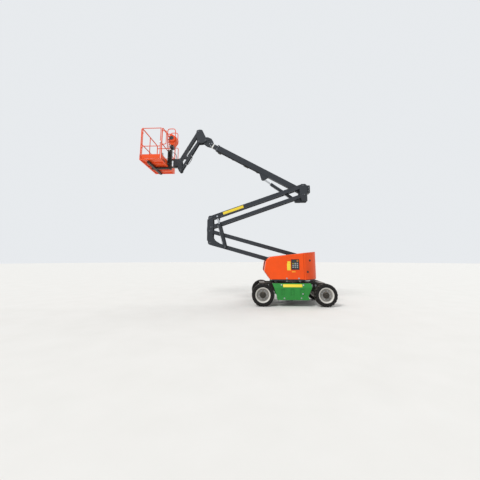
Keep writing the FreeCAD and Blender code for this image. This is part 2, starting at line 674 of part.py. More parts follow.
# Ground control opening in the left hood, its length placed from the hood's seam
PANEL_X = (hood_rear_x + 142, hood_rear_x + 402)
PANEL_Z = (1146.0, 1481.0)
PANEL_DEPTH = 118.0
PANEL_INSET = 12.0


def hood_skin(inset):
    """The hood's outer form, drawn in by a wall and left open below, with its outer edge rounded."""
    rear = hood_rear_x + inset
    low = tray_top - inset
    roof_drop = inset * math.hypot(1, ROOF_SLOPE)
    corners = [(rear, low), (NOSE_X - NOSE_UNDERCUT - 1.9 * inset, low), (NOSE_X - inset, tray_top + NOSE_HEIGHT, 90.0),
               (ROOF_FRONT[0] - inset * 0.9, ROOF_FRONT[1] - inset * 0.9, 260.0),
               (rear, ROOF_REAR_Z - roof_drop - inset * ROOF_SLOPE)]
    outer_y = HOOD_OUTER_Y - inset
    skin = plate(corners, (HOOD_INNER_Y - inset, outer_y))
    edges = []
    for edge in skin.Edges:
        points = [v.Point for v in edge.Vertexes]
        if all(abs(p.y - outer_y) < 0.01 for p in points):
            bottom = all(abs(p.z - low) < 0.01 for p in points)
            behind = all(abs(p.x - rear) < 0.01 for p in points)
            if not bottom and not behind:
                edges.append(edge)
    return skin.makeFillet(HOOD_EDGE - inset, edges)


def hood():
    """The left hood: a moulded shell, open towards the risers, hung on two hinge knuckles."""
    shell = hood_skin(0).cut(hood_skin(HOOD_WALL))
    hinge_y, hinge_z = HOOD_HINGE
    for x in HANGER_STARTS:
        top = roof_height(x + HINGE_KNUCKLE) - HOOD_WALL / 2
        ring = Part.makeCylinder(HINGE_RADIUS + 8, HINGE_KNUCKLE, V(x, hinge_y, hinge_z), V(1, 0, 0))
        hanger = box((x, x + HINGE_KNUCKLE), (hinge_y - 8, hinge_y + 12), (hinge_z, top))
        pin_room = Part.makeCylinder(HINGE_RADIUS + PIN_FIT, HINGE_KNUCKLE, V(x, hinge_y, hinge_z), V(1, 0, 0))
        shell = shell.fuse(fuse(ring, hanger).cut(pin_room))
    return shell


def left_hood():
    return hood().cut(box(PANEL_X, (HOOD_OUTER_Y - HOOD_EDGE, HOOD_OUTER_Y + 1), PANEL_Z))


def ground_control_panel():
    face_y = HOOD_OUTER_Y - PANEL_INSET
    body = box((PANEL_X[0] + SIDE_GAP, PANEL_X[1] - SIDE_GAP), (face_y - PANEL_DEPTH, face_y),
               (PANEL_Z[0] + SIDE_GAP, PANEL_Z[1] - SIDE_GAP))
    stand = box(about((PANEL_X[0] + PANEL_X[1]) / 2, 40), (face_y - PANEL_DEPTH + 10, face_y - PANEL_DEPTH + 50),
                (tray_top, PANEL_Z[0] + SIDE_GAP))
    return fuse(body, stand)


# Battery packs stand on the tray, behind from the hood's seam and in front from the tray's end
BATTERY_GAP = 55.0
BATTERY_FROM_FRONT = 140.0
BATTERY_HEIGHT = 276.0


def battery_packs():
    return both(box((hood_rear_x + BATTERY_GAP, TRAY_FRONT_X - BATTERY_FROM_FRONT),
                    (HOOD_INNER_Y + 30, HOOD_OUTER_Y - 140), (tray_top, tray_top + BATTERY_HEIGHT)))


# Risers


def tie_tube(start, degrees, along, above):
    """A cross tube between the two beams of an arm."""
    return across(on_axis(start, degrees, along, above), TIE_TUBE_RADIUS, symmetric(BEAM_LANE[0] + SIDE_GAP))


def twin_arm(start, end, half, ties):
    """Two box beams, one each side of the middle plane, and the tubes that tie them."""
    turn = math.degrees(math.atan2(end[1] - start[1], end[0] - start[0]))
    beams = both(beam(start, end, half, BEAM_LANE, ARM_WALL, ARM_END_BLOCK))
    tubes = [tie_tube(start, turn, along, above) for along, above in ties]
    return bored(fuse(*beams, *tubes), (start, end), PIN_RADIUS)


def lower_riser_arm():
    arm = twin_arm(lower_pin, knuckle_pin, ARM_HALF,
                   [(560, 0), (RISER_LENGTH / 2 + 63, 0), (RISER_LENGTH - 320, 0)])
    ears = both(across(riser_eye, 58, (45, BEAM_LANE[0] + SIDE_GAP)))
    return fuse(arm, *ears)


def lower_riser_link():
    return twin_arm(lower_link_pin, knuckle_link_pin, LINK_HALF,
                    [(420, 0), (RISER_LENGTH / 2 + 63, 0), (RISER_LENGTH - 320, 0)])


# Knuckle side plate: corners from the lower arm's knuckle pin, with their radii
KNUCKLE_STEPS = [(-95.0, 975.0, 60.0), (65.0, 975.0, 60.0), (117.0, 475.0, 500.0), (64.0, -60.0, 120.0),
                 (-578.0, -238.0, 60.0), (-625.0, -180.0, 50.0), (-605.0, -100.0, 50.0), (-359.0, -30.0, 120.0),
                 (-150.0, 100.0, 120.0), (-97.0, 198.0, 60.0), (-115.0, 651.0, 300.0)]
KNUCKLE_WEB_X = (90.0, 108.0)
KNUCKLE_WEB_Z = (80.0, 840.0)


def mid_knuckle():
    """The two riser ends' common knuckle: side plates, a back web, four cross pins and the rams' feet."""
    sides = both(plate(placed(knuckle_pin, KNUCKLE_STEPS), PLATE_LANE))
    kx, kz = knuckle_pin
    web = box((kx + KNUCKLE_WEB_X[0], kx + KNUCKLE_WEB_X[1]), symmetric(PLATE_LANE[0] + SIDE_GAP),
              (kz + KNUCKLE_WEB_Z[0], kz + KNUCKLE_WEB_Z[1]))
    pins = [across(p, PIN_RADIUS, symmetric(PLATE_LANE[1] + PIN_STAND))
            for p in (knuckle_pin, knuckle_link_pin, knuckle_upper_pin, knuckle_upper_link_pin)]
    feet = both(across(knuckle_foot, PIN_RADIUS, (PLATE_LANE[0], OUTBOARD_Y + 52)))
    return fuse(*sides, web, *pins, *feet)


def upper_riser_arm():
    arm = twin_arm(knuckle_upper_pin, upright_pin, ARM_HALF, [(250, 20)])
    stubs = both(across(knuckle_eye, PIN_RADIUS, (BEAM_LANE[0], OUTBOARD_Y - 40)))
    return fuse(arm, *stubs)


def upper_riser_link():
    return twin_arm(knuckle_upper_link_pin, upright_link_pin, LINK_HALF, [(250, 0), (RISER_LENGTH / 2 - 37, 0)])


# Upright side plates: corners from the upper arm's pin, with their radii
OUTER_PLATE = [(-128.0, -570.0), (60.0, -570.0, 40.0), (127.0, -300.0, 60.0), (127.0, -60.0, 40.0),
               (70.0, 62.0, 40.0), (-90.0, 62.0, 40.0), (-141.0, 0.0, 20.0)]
INNER_PLATE_LOW = [(-128.0, -570.0), (130.0, -595.0, 40.0)]
BLOCK_X = (-259.0, -141.0)
BLOCK_Z = (-270.0, 18.0)


def upright():
    """The upper riser's end: outer plates for the risers, inner plates for the boom and its lift cylinder."""
    ux, uz = upright_pin
    outer = both(plate(placed(upright_pin, OUTER_PLATE), PLATE_LANE))
    inner_corners = placed(upright_pin, INNER_PLATE_LOW) + placed(lift_foot, [(60, -60, 50), (60, 40, 50)])
    inner_corners += placed(boom_pin, [(85, -40, 60), (60, 75, 60), (-50, 90, 60)]) + [(ux - 128, uz - 100)]
    inner = both(plate(inner_corners, INNER_PLATE_LANE))
    web = box((ux - 141, ux - 128), symmetric(PLATE_LANE[1]), (uz - 570, uz))
    pins = [across(upright_link_pin, PIN_RADIUS, symmetric(PLATE_LANE[1] + PIN_STAND)),
            across(boom_pin, PIN_RADIUS, symmetric(INNER_PLATE_LANE[1] + 3)),
            across(lift_foot, PIN_RADIUS, symmetric(INNER_PLATE_LANE[1] + 3))]
    stubs = both(across(upright_pin, PIN_RADIUS, (BEAM_LANE[0] - 6, PLATE_LANE[1] + PIN_STAND)))
    return fuse(*outer, *inner, web, *pins, *stubs)


def upright_box():
    """The valve block's housing behind the upright."""
    ux, uz = upright_pin
    corners = [(ux + x, uz + z) for x, z in ((BLOCK_X[0], BLOCK_Z[0]), (BLOCK_X[1], BLOCK_Z[0]),
                                             (BLOCK_X[1], BLOCK_Z[1]), (BLOCK_X[0], BLOCK_Z[1]))]
    return plate([(*corners[0], 30), corners[1], corners[2], (*corners[3], 30)], symmetric(130))


# Main boom and fly


def boom_block(along, above, y):
    return sloping_box(boom_pin, BOOM_ANGLE, along, above, y)


def boom_place(along, above):
    return on_axis(boom_pin, BOOM_ANGLE, along, above)


# Lift eye plate: corners from the eye, along the boom and square to it
LIFT_EAR_LENGTH = (-150.0, 220.0)
LIFT_EAR_TIP = [(60.0, -20.0, 30.0), (30.0, -48.0, 30.0), (-30.0, -48.0, 30.0), (-60.0, -20.0, 30.0)]
LIFT_EAR_LANE = (45.0, 70.0)


def main_boom():
    """The boom's box tube with its collar and wear pads, root plates and lift ears."""
    tube = boom_block((BOOM_ROOT, BOOM_LENGTH), symmetric(BOOM_HALF), symmetric(BOOM_SIDE))
    collar = boom_block((BOOM_LENGTH - COLLAR_LENGTH, BOOM_LENGTH), symmetric(BOOM_HALF + COLLAR_STEP[0]),
                        symmetric(BOOM_SIDE + COLLAR_STEP[1]))
    hollow = boom_block((BOOM_ROOT + 20, BOOM_LENGTH + 1), symmetric(BOOM_HALF - BOOM_WALL),
                        symmetric(BOOM_SIDE - BOOM_WALL))
    root = strip(boom_pin, boom_place(BOOM_ROOT + 20, 0), BOOM_HALF, symmetric(INNER_PLATE_LANE[0] - SIDE_GAP))
    pads = boom_block((BOOM_LENGTH - COLLAR_LENGTH, BOOM_LENGTH), symmetric(BOOM_HALF - 2), symmetric(BOOM_SIDE - 2))
    pads = pads.cut(boom_block((BOOM_LENGTH - COLLAR_LENGTH - 1, BOOM_LENGTH + 1), symmetric(FLY_HALF + SEAT_GAP),
                               symmetric(FLY_SIDE + SEAT_GAP)))
    eye_along, eye_below = LIFT_EYE
    root_line = [(boom_place(eye_along + a, 4 - BOOM_HALF)) for a in LIFT_EAR_LENGTH]
    tip = [(*boom_place(eye_along + a, eye_below + b), r) for a, b, r in LIFT_EAR_TIP]
    ears = both(plate(root_line + tip, LIFT_EAR_LANE))
    return bored(fuse(fuse(tube, collar).cut(hollow), root, pads, *ears), (boom_pin,), PIN_RADIUS)


# Fly nose plate: corners from the head pin, along the boom and square to it
NOSE_STEPS = [(-339.0, 32.0, 20.0), (-304.0, 93.0, 40.0), (-170.0, 178.0, 60.0), (11.0, 162.0, 90.0),
              (86.0, 92.0, 60.0), (116.0, 0.0, 60.0), (71.0, -118.0, 60.0), (-154.0, -148.0, 60.0),
              (-306.0, -116.0, 20.0)]
NOSE_HOLES = [(-120.0, 75.0, 26.0), (-165.0, -20.0, 20.0), (-225.0, -75.0, 16.0)]


def fly_boom():
    """The sliding inner tube with the nose plates that carry the jib's bracket."""
    end = BOOM_LENGTH + FLY_OUT
    start = BOOM_LENGTH - FLY_OVERLAP
    tube = boom_block((start, end), symmetric(FLY_HALF), symmetric(FLY_SIDE))
    hollow = boom_block((start - 1, end - 60), symmetric(FLY_HALF - FLY_WALL), symmetric(FLY_SIDE - FLY_WALL))
    corners = [(*on_axis(head_pin, BOOM_ANGLE, a, b), r) for a, b, r in NOSE_STEPS]
    cheek = plate(corners, about(FLY_SIDE + 2.5, 12.5))
    cheek = cheek.cut([across(on_axis(head_pin, BOOM_ANGLE, a, b), r, (FLY_SIDE + 1, FLY_SIDE + 20))
                       for a, b, r in NOSE_HOLES])
    boss = across(head_pin, 55, symmetric(FLY_SIDE + 25))
    return bored(fuse(tube.cut(hollow), *both(cheek), boss), (head_pin,), HEAD_PIN_RADIUS)


# Jib

# Bracket side plate: corners from the head pin, the jib's top pin and the link's top pin, with radii
BRACKET_HEAD = [(-60.0, -5.0, 40.0), (-40.0, 75.0, 40.0)]
BRACKET_TOP = [(-155.0, 70.0, 60.0), (-50.0, 86.0, 80.0), (55.0, 55.0, 60.0), (70.0, -10.0, 60.0)]
BRACKET_LINK = [(65.0, -20.0, 50.0), (5.0, -68.0, 40.0), (-150.0, -60.0, 60.0)]
BRACKET_END = [(-10.0, -62.0, 40.0)]
FORK_LANE = (42.0, 58.0)


def jib_bracket():
    """The levelled bracket between the fly's nose and the jib: side plates, a web and a fork for the jib cylinder."""
    tx, tz = jib_top
    fx, fz = jib_foot
    corners = (placed(head_pin, BRACKET_HEAD) + placed(jib_top, BRACKET_TOP) + placed(jib_link_top, BRACKET_LINK)
               + placed(head_pin, BRACKET_END))
    sides = both(plate(corners, JIB_PLATE_LANE))
    web = box((tx - 105, tx - 90), symmetric(JIB_PLATE_LANE[0] + SIDE_GAP), (jib_link_top[1] - 40, tz + 60))
    fork = both(plate([(tx - 95, fz - 60), (fx, fz - 32, 20), (fx + 34, fz, 20), (fx, fz + 32, 20),
                       (tx - 95, fz + 60)], FORK_LANE))
    pins = [across(head_pin, HEAD_PIN_RADIUS, symmetric(JIB_PLATE_LANE[1] + 8)),
            across(jib_top, JIB_PIN_RADIUS, symmetric(JIB_PLATE_LANE[1] + 8)),
            across(jib_foot, JIB_FOOT_PIN_RADIUS, symmetric(FORK_LANE[1]))]
    stubs = both(across(jib_link_top, JIB_PIN_RADIUS, (JIB_LINK_LANE[0] - 4, JIB_PLATE_LANE[1] + 8)))
    return fuse(*sides, web, *fork, *pins, *stubs)


JIB_EAR_LANE = (45.0, 55.0)
JIB_EAR = [(-90.0, 90.0), (36.0, -36.0)]


def jib_arm():
    """The jib's box beam with its end bosses and the ears for the cylinder's rod."""
    arm = beam(jib_top, jib_low, JIB_HALF, symmetric(JIB_SIDE), ARM_WALL, 100)
    bosses = [across(p, 48, symmetric(JIB_PLATE_LANE[0] - SIDE_GAP)) for p in (jib_top, jib_low)]
    arm = bored(fuse(arm, *bosses), (jib_top, jib_low), JIB_PIN_RADIUS)
    along, below = JIB_EYE
    root_line = [on_axis(jib_top, JIB_ANGLE, along + a, 4 - JIB_HALF) for a in JIB_EAR[0]]
    tip = [(*on_axis(jib_top, JIB_ANGLE, along + a, below - 32), 26) for a in JIB_EAR[1]]
    return fuse(arm, *both(plate(root_line + tip, JIB_EAR_LANE)))


def jib_link():
    bar = strip(jib_link_top, jib_link_low, JIB_LINK_HALF, JIB_LINK_LANE)
    return both(bored(bar, (jib_link_top, jib_link_low), JIB_PIN_RADIUS))


# Mount side plate: corners from the jib's low pin and the link's low pin, with radii
MOUNT_TOP = [(-62.0, -10.0, 40.0), (-45.0, 55.0, 40.0), (20.0, 72.0, 40.0)]
MOUNT_LINK = [(60.0, -50.0, 40.0), (-5.0, -65.0, 40.0), (-60.0, -10.0, 50.0)]


def platform_mount():
    """The jib's end casting: side plates, a web and the rotator's housing and shaft."""
    ax = jib_low[0]
    low, high = rotator_z
    web_x = (ax + 73, ax + 88)
    flat_x = rotator_x - ROTATOR_RADIUS - SIDE_GAP
    corners = placed(jib_low, MOUNT_TOP) + [(flat_x, high - 5), (rotator_x, high - 5), (rotator_x, low + 10),
                                            (web_x[1], low + 10)]
    corners += [(web_x[1], low - 40, 20)] + placed(jib_link_low, MOUNT_LINK)
    sides = both(plate(corners, JIB_PLATE_LANE))
    web = box(web_x, symmetric(JIB_PLATE_LANE[0] + SIDE_GAP), (jib_link_low[1] + 60, high - 5))
    housing = upright_bar(rotator_x, 0, ROTATOR_RADIUS, rotator_z)
    cheeks = box((web_x[1] - 3, rotator_x), symmetric(JIB_PLATE_LANE[0] + SIDE_GAP), (low + 60, high - 60))
    shaft = upright_bar(rotator_x, 0, SHAFT_RADIUS, (low - 30, high + 30))
    pin = across(jib_low, JIB_PIN_RADIUS, symmetric(JIB_PLATE_LANE[1] + 8))
    stubs = both(across(jib_link_low, JIB_PIN_RADIUS, (JIB_LINK_LANE[0] - 4, JIB_PLATE_LANE[1] + 8)))
    return fuse(*sides, web, housing, cheeks, shaft, pin, *stubs)


# Platform


def platform_support():
    """The rotator's two arms, the post and the black beams under the floor."""
    low, high = rotator_z
    hub_bore = upright_bar(rotator_x, 0, SHAFT_RADIUS + PIN_FIT, (low - 100, high + 100))
    arms = [fuse(upright_bar(rotator_x, 0, ROTATOR_RADIUS, z), box((rotator_x, post_x[1]), symmetric(POST_HALF), z))
            for z in ((low - SEAT_GAP - ARM_PLATE, low - SEAT_GAP), (high + SEAT_GAP, high + SEAT_GAP + ARM_PLATE))]
    beam_z = (platform_z - PLATFORM_BEAM, platform_z)
    post = box(post_x, symmetric(POST_HALF), (platform_z - PLATFORM_BEAM - 20, post_top))
    cross_x = (platform_x[0] + 476, platform_x[0] + 566)
    runner = box((post_x[0], cross_x[1] + PLATFORM_BEAM), symmetric(50), beam_z)
    cross = box(cross_x, symmetric(PLATFORM_WIDTH / 2 - 130), beam_z)
    return fuse(*arms, post, runner, cross).cut(hub_bore)


def platform_floor():
    half = PLATFORM_WIDTH / 2
    slab = box(platform_x, symmetric(half), (platform_z, floor_z))
    pockets = []
    bays = 4
    pitch = (PLATFORM_WIDTH - FLOOR_RIM) / bays
    for i in range(bays):
        start = -half + FLOOR_RIM + i * pitch
        pockets.append(box((platform_x[0] + FLOOR_RIM, platform_x[1] - FLOOR_RIM), (start, start + pitch - FLOOR_RIM),
                           (platform_z - 1, floor_z - 6)))
    return slab.cut(pockets)


# Heights of the gate's hinge rings above the floor
GATE_RINGS = (420.0, 980.0)


def platform_rails():
    """Posts, top and middle rails, kick plates, corner hoops and the gate's hinge rings."""
    pieces = []
    for x in (rail_rear_x, rail_front_x):
        pieces.append(bent_tube([(x, -rail_y, floor_z), (x, -rail_y, rail_top), (x, rail_y, rail_top),
                                 (x, rail_y, floor_z)], RAIL_RADIUS, RAIL_BEND))
        pieces.append(upright_bar(x, 0, MIDDLE_RAIL_RADIUS, (floor_z, rail_top)))
        pieces.append(span((x, -rail_y, rail_middle), (x, rail_y, rail_middle), MIDDLE_RAIL_RADIUS))
    far_top = rail_top - RAIL_BEND - RAIL_RADIUS - SIDE_GAP
    far = [(rail_rear_x, -rail_y, far_top), (rail_front_x, -rail_y, far_top)]
    pieces.append(span(*far, MIDDLE_RAIL_RADIUS))
    far_middle = rail_middle + 2 * MIDDLE_RAIL_RADIUS
    pieces.append(span((rail_rear_x, -rail_y, far_middle), (rail_front_x, -rail_y, far_middle), MIDDLE_RAIL_RADIUS))
    toe = (floor_z, floor_z + TOE_HEIGHT)
    edge = PLATFORM_WIDTH / 2
    pieces += [box((platform_x[0], platform_x[0] + TOE_THICKNESS), symmetric(edge), toe),
               box((platform_x[1] - TOE_THICKNESS, platform_x[1]), symmetric(edge), toe),
               box(platform_x, (-edge, -edge + TOE_THICKNESS), toe)]
    hoop_x = post_x[0] - 10
    hoop_low = rail_middle - 20
    hoop_top = rail_top - 115
    for y in (rail_y - 30, 30 - rail_y):
        pieces.append(bent_tube([(rail_rear_x, y, hoop_low), (hoop_x, y, hoop_low), (hoop_x, y, hoop_top),
                                 (rail_rear_x, y, hoop_top)], HOOP_RADIUS, 50))
        pieces += [span((rail_rear_x, y, z), (rail_rear_x, math.copysign(rail_y, y), z), HOOP_RADIUS)
                   for z in (hoop_low, hoop_top)]
    for z in GATE_RINGS:
        height = floor_z + z
        pieces.append(box((gate_x[1], rail_front_x), about(rail_y, 12), (height - 10, height + 10)))
        pieces.append(upright_bar(gate_x[1], rail_y, GATE_RADIUS + 10, about(height, 15)))
    rails = fuse(*pieces)
    return rails.cut(upright_bar(gate_x[1], rail_y, GATE_RADIUS + PIN_FIT, (floor_z, rail_top)))


def platform_gate():
    """The near side's gate, which swings inwards on its front post."""
    z = (floor_z + 12, rail_top - 8)
    posts = [upright_bar(x, rail_y, GATE_RADIUS, z) for x in gate_x]
    bars = [span((gate_x[0], rail_y, height), (gate_x[1], rail_y, height), GATE_RADIUS)
            for height in (rail_middle - 100, rail_top - 22)]
    kick = box(gate_x, about(rail_y, 4), (z[0], floor_z + TOE_HEIGHT))
    return fuse(*posts, *bars, kick)


# Console: corners from the platform's rear edge and floor, with radii
CONSOLE_STEPS = [(-354.0, 884.0, 40.0), (-364.0, 1024.0, 60.0), (-144.0, 1184.0, 60.0), (-94.0, 1114.0, 30.0),
                 (-114.0, 764.0, 30.0), (-234.0, 704.0, 60.0)]
CONSOLE_LANE = (30.0, 330.0)
CONSOLE_BRACKETS = (90.0, 270.0)


def control_console():
    """The upper controls' housing with its hangers on the rear rail."""
    case = plate(placed((platform_x[0], floor_z), CONSOLE_STEPS), CONSOLE_LANE)
    rail_face = rail_rear_x - RAIL_RADIUS
    arms = [box((platform_x[0] - 134, rail_face), about(y, 12), about(z, 12))
            for y in CONSOLE_BRACKETS for z in (floor_z + 854, rail_top)]
    bars = [box((rail_face - 14, rail_face), about(y, 25), (floor_z + 604, rail_top + 12)) for y in CONSOLE_BRACKETS]
    return fuse(case, *arms, *bars)


# Hoses: points of each route along the machine, across it and up


def platform_hose():
    """The hose loop from the platform's post to the rotator's upper arm."""
    arm_top = rotator_z[1] + SEAT_GAP + ARM_PLATE
    x = rotator_x - HOSE_FROM_ROTATOR
    return bent_tube([(post_x[0], HOSE_Y, post_top - HOSE_BELOW_POST), (x, HOSE_Y, post_top - HOSE_BELOW_POST),
                      (x, HOSE_Y, arm_top)], HOSE_RADIUS, HOSE_BEND)


# The jib hose's route, along the jib link from its top pin and square to it
JIB_HOSE = [(630.0, -JIB_LINK_HALF - SEAT_GAP), (630.0, -140.0), (1035.0, -140.0), (1035.0, -JIB_LINK_HALF - SEAT_GAP)]


def jib_hose():
    """The hose loop that hangs under the jib link's left bar."""
    route = [on_axis(jib_link_top, JIB_ANGLE, a, b) for a, b in JIB_HOSE]
    y = (JIB_LINK_LANE[0] + JIB_LINK_LANE[1]) / 2
    return bent_tube([(x, y, z) for x, z in route], HOSE_RADIUS, JIB_HOSE_BEND)


# Cylinders: foot, rod's eye, barrel radius, rod radius, neck, barrel length, rod length,
# half widths of the foot and of the eye, foot pin's radius, distance from the middle plane
RAMS = {
    "riser_cylinder": (riser_foot, riser_eye, 60, 32, 78, 900, 900, 45, 40, PIN_RADIUS, 0),
    "knuckle_cylinder": (knuckle_foot, knuckle_eye, 50, 27, 60, 850, 900, 38, 38, PIN_RADIUS, OUTBOARD_Y),
    "lift_cylinder": (lift_foot, lift_eye, 55, 30, 60, 1130, 1150, 57, 40, PIN_RADIUS, 0),
    "jib_cylinder": (jib_foot, jib_eye, 36, 18, 46, 740, 720, 37, 34, JIB_FOOT_PIN_RADIUS, 0),
}


def save(name, *shapes):
    solids = [solid for shape in shapes for solid in shape.Solids]
    result = solids[0] if len(solids) == 1 else Part.makeCompound(solids)
    result.exportStep(f"parts/{name}.step")


def build():
    os.makedirs("parts", exist_ok=True)
    save("chassis_frame", chassis_frame())
    save("side_covers", *both(side_cover()))
    save("lashing_eyes", *lashing_eyes())
    save("front_axle", front_axle())
    save("rear_axle", rear_axle())
    save("slew_ring", slew_ring())
    save("tie_rod", tie_rod())
    save("steer_knuckle_left", steer_knuckle())
    save("steer_knuckle_right", mirrored(steer_knuckle()))
    tyre_shape = tyre()
    rim_shape = rim()
    for end, x in (("front", front_x), ("rear", rear_x)):
        for name, side in (("left", 1), ("right", -1)):
            save(f"tyre_{end}_{name}", wheel_place(tyre_shape, x, side))
            save(f"rim_{end}_{name}", wheel_place(rim_shape, x, side))
    save("turntable_frame", turntable_frame())
    save("counterweight", counterweight())
    save("hood_left", left_hood())
    save("hood_right", mirrored(hood()))
    save("ground_control_panel", ground_control_panel())
    save("battery_packs", *battery_packs())
    save("lower_riser_arm", lower_riser_arm())
    save("lower_riser_link", lower_riser_link())
    save("mid_knuckle", mid_knuckle())
    save("upper_riser_arm", upper_riser_arm())
    save("upper_riser_link", upper_riser_link())
    save("upright", upright())
    save("upright_box", upright_box())
    save("main_boom", main_boom())
    save("fly_boom", fly_boom())
    save("jib_bracket", jib_bracket())
    save("jib_arm", jib_arm())
    save("jib_link", *jib_link())
    save("platform_mount", platform_mount())
    save("platform_support", platform_support())
    save("platform_floor", platform_floor())
    save("platform_rails", platform_rails())
    save("platform_gate", platform_gate())
    save("control_console", control_console())
    save("platform_hose", platform_hose())
    save("jib_hose", jib_hose())
    for name, sizes in RAMS.items():
        barrel, rod = ram(*sizes)
        beside = sizes[-1] > 0
        save(f"{name}_barrel", *(both(barrel) if beside else [barrel]))
        save(f"{name}_rod", *(both(rod) if beside else [rod]))


build()
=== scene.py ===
import math

import bmesh
import bpy
from mathutils import Matrix, Vector


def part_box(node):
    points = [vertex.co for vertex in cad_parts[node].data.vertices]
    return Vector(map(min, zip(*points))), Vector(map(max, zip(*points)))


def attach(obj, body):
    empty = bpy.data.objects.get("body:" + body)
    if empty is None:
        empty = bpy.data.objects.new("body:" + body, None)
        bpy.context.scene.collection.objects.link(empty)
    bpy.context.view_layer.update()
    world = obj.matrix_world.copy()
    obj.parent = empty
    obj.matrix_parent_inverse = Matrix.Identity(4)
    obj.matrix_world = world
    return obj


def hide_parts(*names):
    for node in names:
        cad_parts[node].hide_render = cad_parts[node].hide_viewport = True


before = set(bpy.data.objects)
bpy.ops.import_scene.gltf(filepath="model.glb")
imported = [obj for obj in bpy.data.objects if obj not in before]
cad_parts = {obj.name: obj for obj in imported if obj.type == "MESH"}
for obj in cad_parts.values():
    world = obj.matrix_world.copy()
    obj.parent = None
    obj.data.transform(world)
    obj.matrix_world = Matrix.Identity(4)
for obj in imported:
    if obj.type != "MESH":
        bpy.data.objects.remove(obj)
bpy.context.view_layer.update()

# Camera, floor and light
# The camera stands low on the ground on the machine's left and looks a little up at it.
# The floor is plain pale concrete, under a pale sky that also gives the shadows their fill.

CAMERA_PLACE = Vector((1.334, 9.735, 1.53))
CAMERA_YAW = math.radians(2.57)
CAMERA_PITCH = math.radians(9.37)
PICTURE_SIZE = 480
FOCAL_PIXELS = 268.4
CENTRE_ROW = 213.5
SENSOR = 36.0

ahead = Vector((math.sin(CAMERA_YAW), -math.cos(CAMERA_YAW), 0))
right = Vector((-math.cos(CAMERA_YAW), -math.sin(CAMERA_YAW), 0))
up = Vector((0, 0, 1))
look = ahead * math.cos(CAMERA_PITCH) + up * math.sin(CAMERA_PITCH)
camera_up = up * math.cos(CAMERA_PITCH) - ahead * math.sin(CAMERA_PITCH)
camera_data = bpy.data.cameras.new("camera")
camera_data.sensor_width = SENSOR
camera_data.lens = SENSOR * FOCAL_PIXELS / PICTURE_SIZE
camera_data.shift_y = (CENTRE_ROW - PICTURE_SIZE / 2) / PICTURE_SIZE
camera = bpy.data.objects.new("camera", camera_data)
camera.matrix_world = Matrix.Translation(CAMERA_PLACE) @ Matrix((right, camera_up, -look)).transposed().to_4x4()
bpy.context.scene.collection.objects.link(camera)
bpy.context.scene.camera = camera
bpy.context.scene.view_settings.view_transform = "Standard"


def linear(code):
    """An sRGB hex colour as the linear RGBA that a shader's socket takes."""
    parts = [int(code[i:i + 2], 16) / 255 for i in (0, 2, 4)]
    return [c / 12.92 if c <= 0.04045 else ((c + 0.055) / 1.055) ** 2.4 for c in parts] + [1.0]


def add(tree, kind, inputs=None, **settings):
    """Adds a node, such as a Bump. An input is a value, another node's output, or a node for its first output.

    A Mix node of colours has them at inputs 6 and 7, and its result at output 2.
    """
    node = tree.nodes.new(f"ShaderNode{kind}")
    for name, value in settings.items():
        setattr(node, name, value)
    for name, value in (inputs or {}).items():
        if isinstance(value, bpy.types.Node):
            value = value.outputs[0]
        if isinstance(value, bpy.types.NodeSocket):
            tree.links.new(value, node.inputs[name])
        else:
            node.inputs[name].default_value = value
    return node


def new_material(name):
    """A material, its empty node tree, and the output that gives places on the object."""
    material = bpy.data.materials.new(name)
    material.use_nodes = True
    tree = material.node_tree
    tree.nodes.clear()
    return material, tree, add(tree, "TexCoord").outputs["Object"]


world = bpy.data.worlds.new("pale_sky")
world.use_nodes = True
bpy.context.scene.world = world
sky = world.node_tree
sky.nodes.clear()
SKY_FILL = 0.62                  # how much the sky lights the object, and how bright it is seen
SKY_SEEN = 0.95
rays = add(sky, "LightPath")
seen = rays.outputs["Is Camera Ray"]
for kind in ("Is Glossy Ray", "Is Transmission Ray"):
    seen = add(sky, "Math", {0: seen, 1: rays.outputs[kind]}, operation="MAXIMUM")
level = add(sky, "MapRange", {"Value": seen, "To Min": SKY_FILL, "To Max": SKY_SEEN})
backdrop = add(sky, "Background", {"Color": linear("EDF0F3"), "Strength": level})
add(sky, "OutputWorld", {"Surface": backdrop})

for name, strength, angle, place in (("key", 1.9, 22, (0.5, 0.62, 0.85)), ("rim", 0.7, 40, (-0.7, -0.5, 0.6))):
    lamp = bpy.data.lights.new(name, "SUN")
    lamp.energy = strength
    lamp.angle = math.radians(angle)
    lamp_object = bpy.data.objects.new(name, lamp)
    lamp_object.rotation_mode = "QUATERNION"
    lamp_object.rotation_quaternion = Vector(place).to_track_quat("Z", "Y")
    bpy.context.scene.collection.objects.link(lamp_object)

# Float-finished concrete: matt, with cloudy tone patches about 0.7 m across.
FLOOR_RADIUS = 90.0
concrete, tree, spot = new_material("floated_concrete")
clouds = add(tree, "TexNoise", {"Vector": spot, "Scale": 1.4, "Detail": 4.0})
tone = add(tree, "Mix", {"Factor": clouds, 6: linear("E3E1DC"), 7: linear("EBE9E5")},
           data_type="RGBA")
shader = add(tree, "BsdfPrincipled", {"Base Color": tone.outputs[2], "Roughness": 0.9})
add(tree, "OutputMaterial", {"Surface": shader})
ground = bmesh.new()
bmesh.ops.create_circle(ground, cap_ends=True, segments=96, radius=FLOOR_RADIUS)
ground_mesh = bpy.data.meshes.new("floor")
ground.to_mesh(ground_mesh)
ground.free()
ground_mesh.materials.append(concrete)
floor = bpy.data.objects.new("floor", ground_mesh)
bpy.context.scene.collection.objects.link(floor)


# Chassis frame
# Two welded box rails with cross members and a deck plate, sprayed black.
# Lashing eyes of zinc-plated plate are welded under the rails, and bolts hold the deck's cover plates.


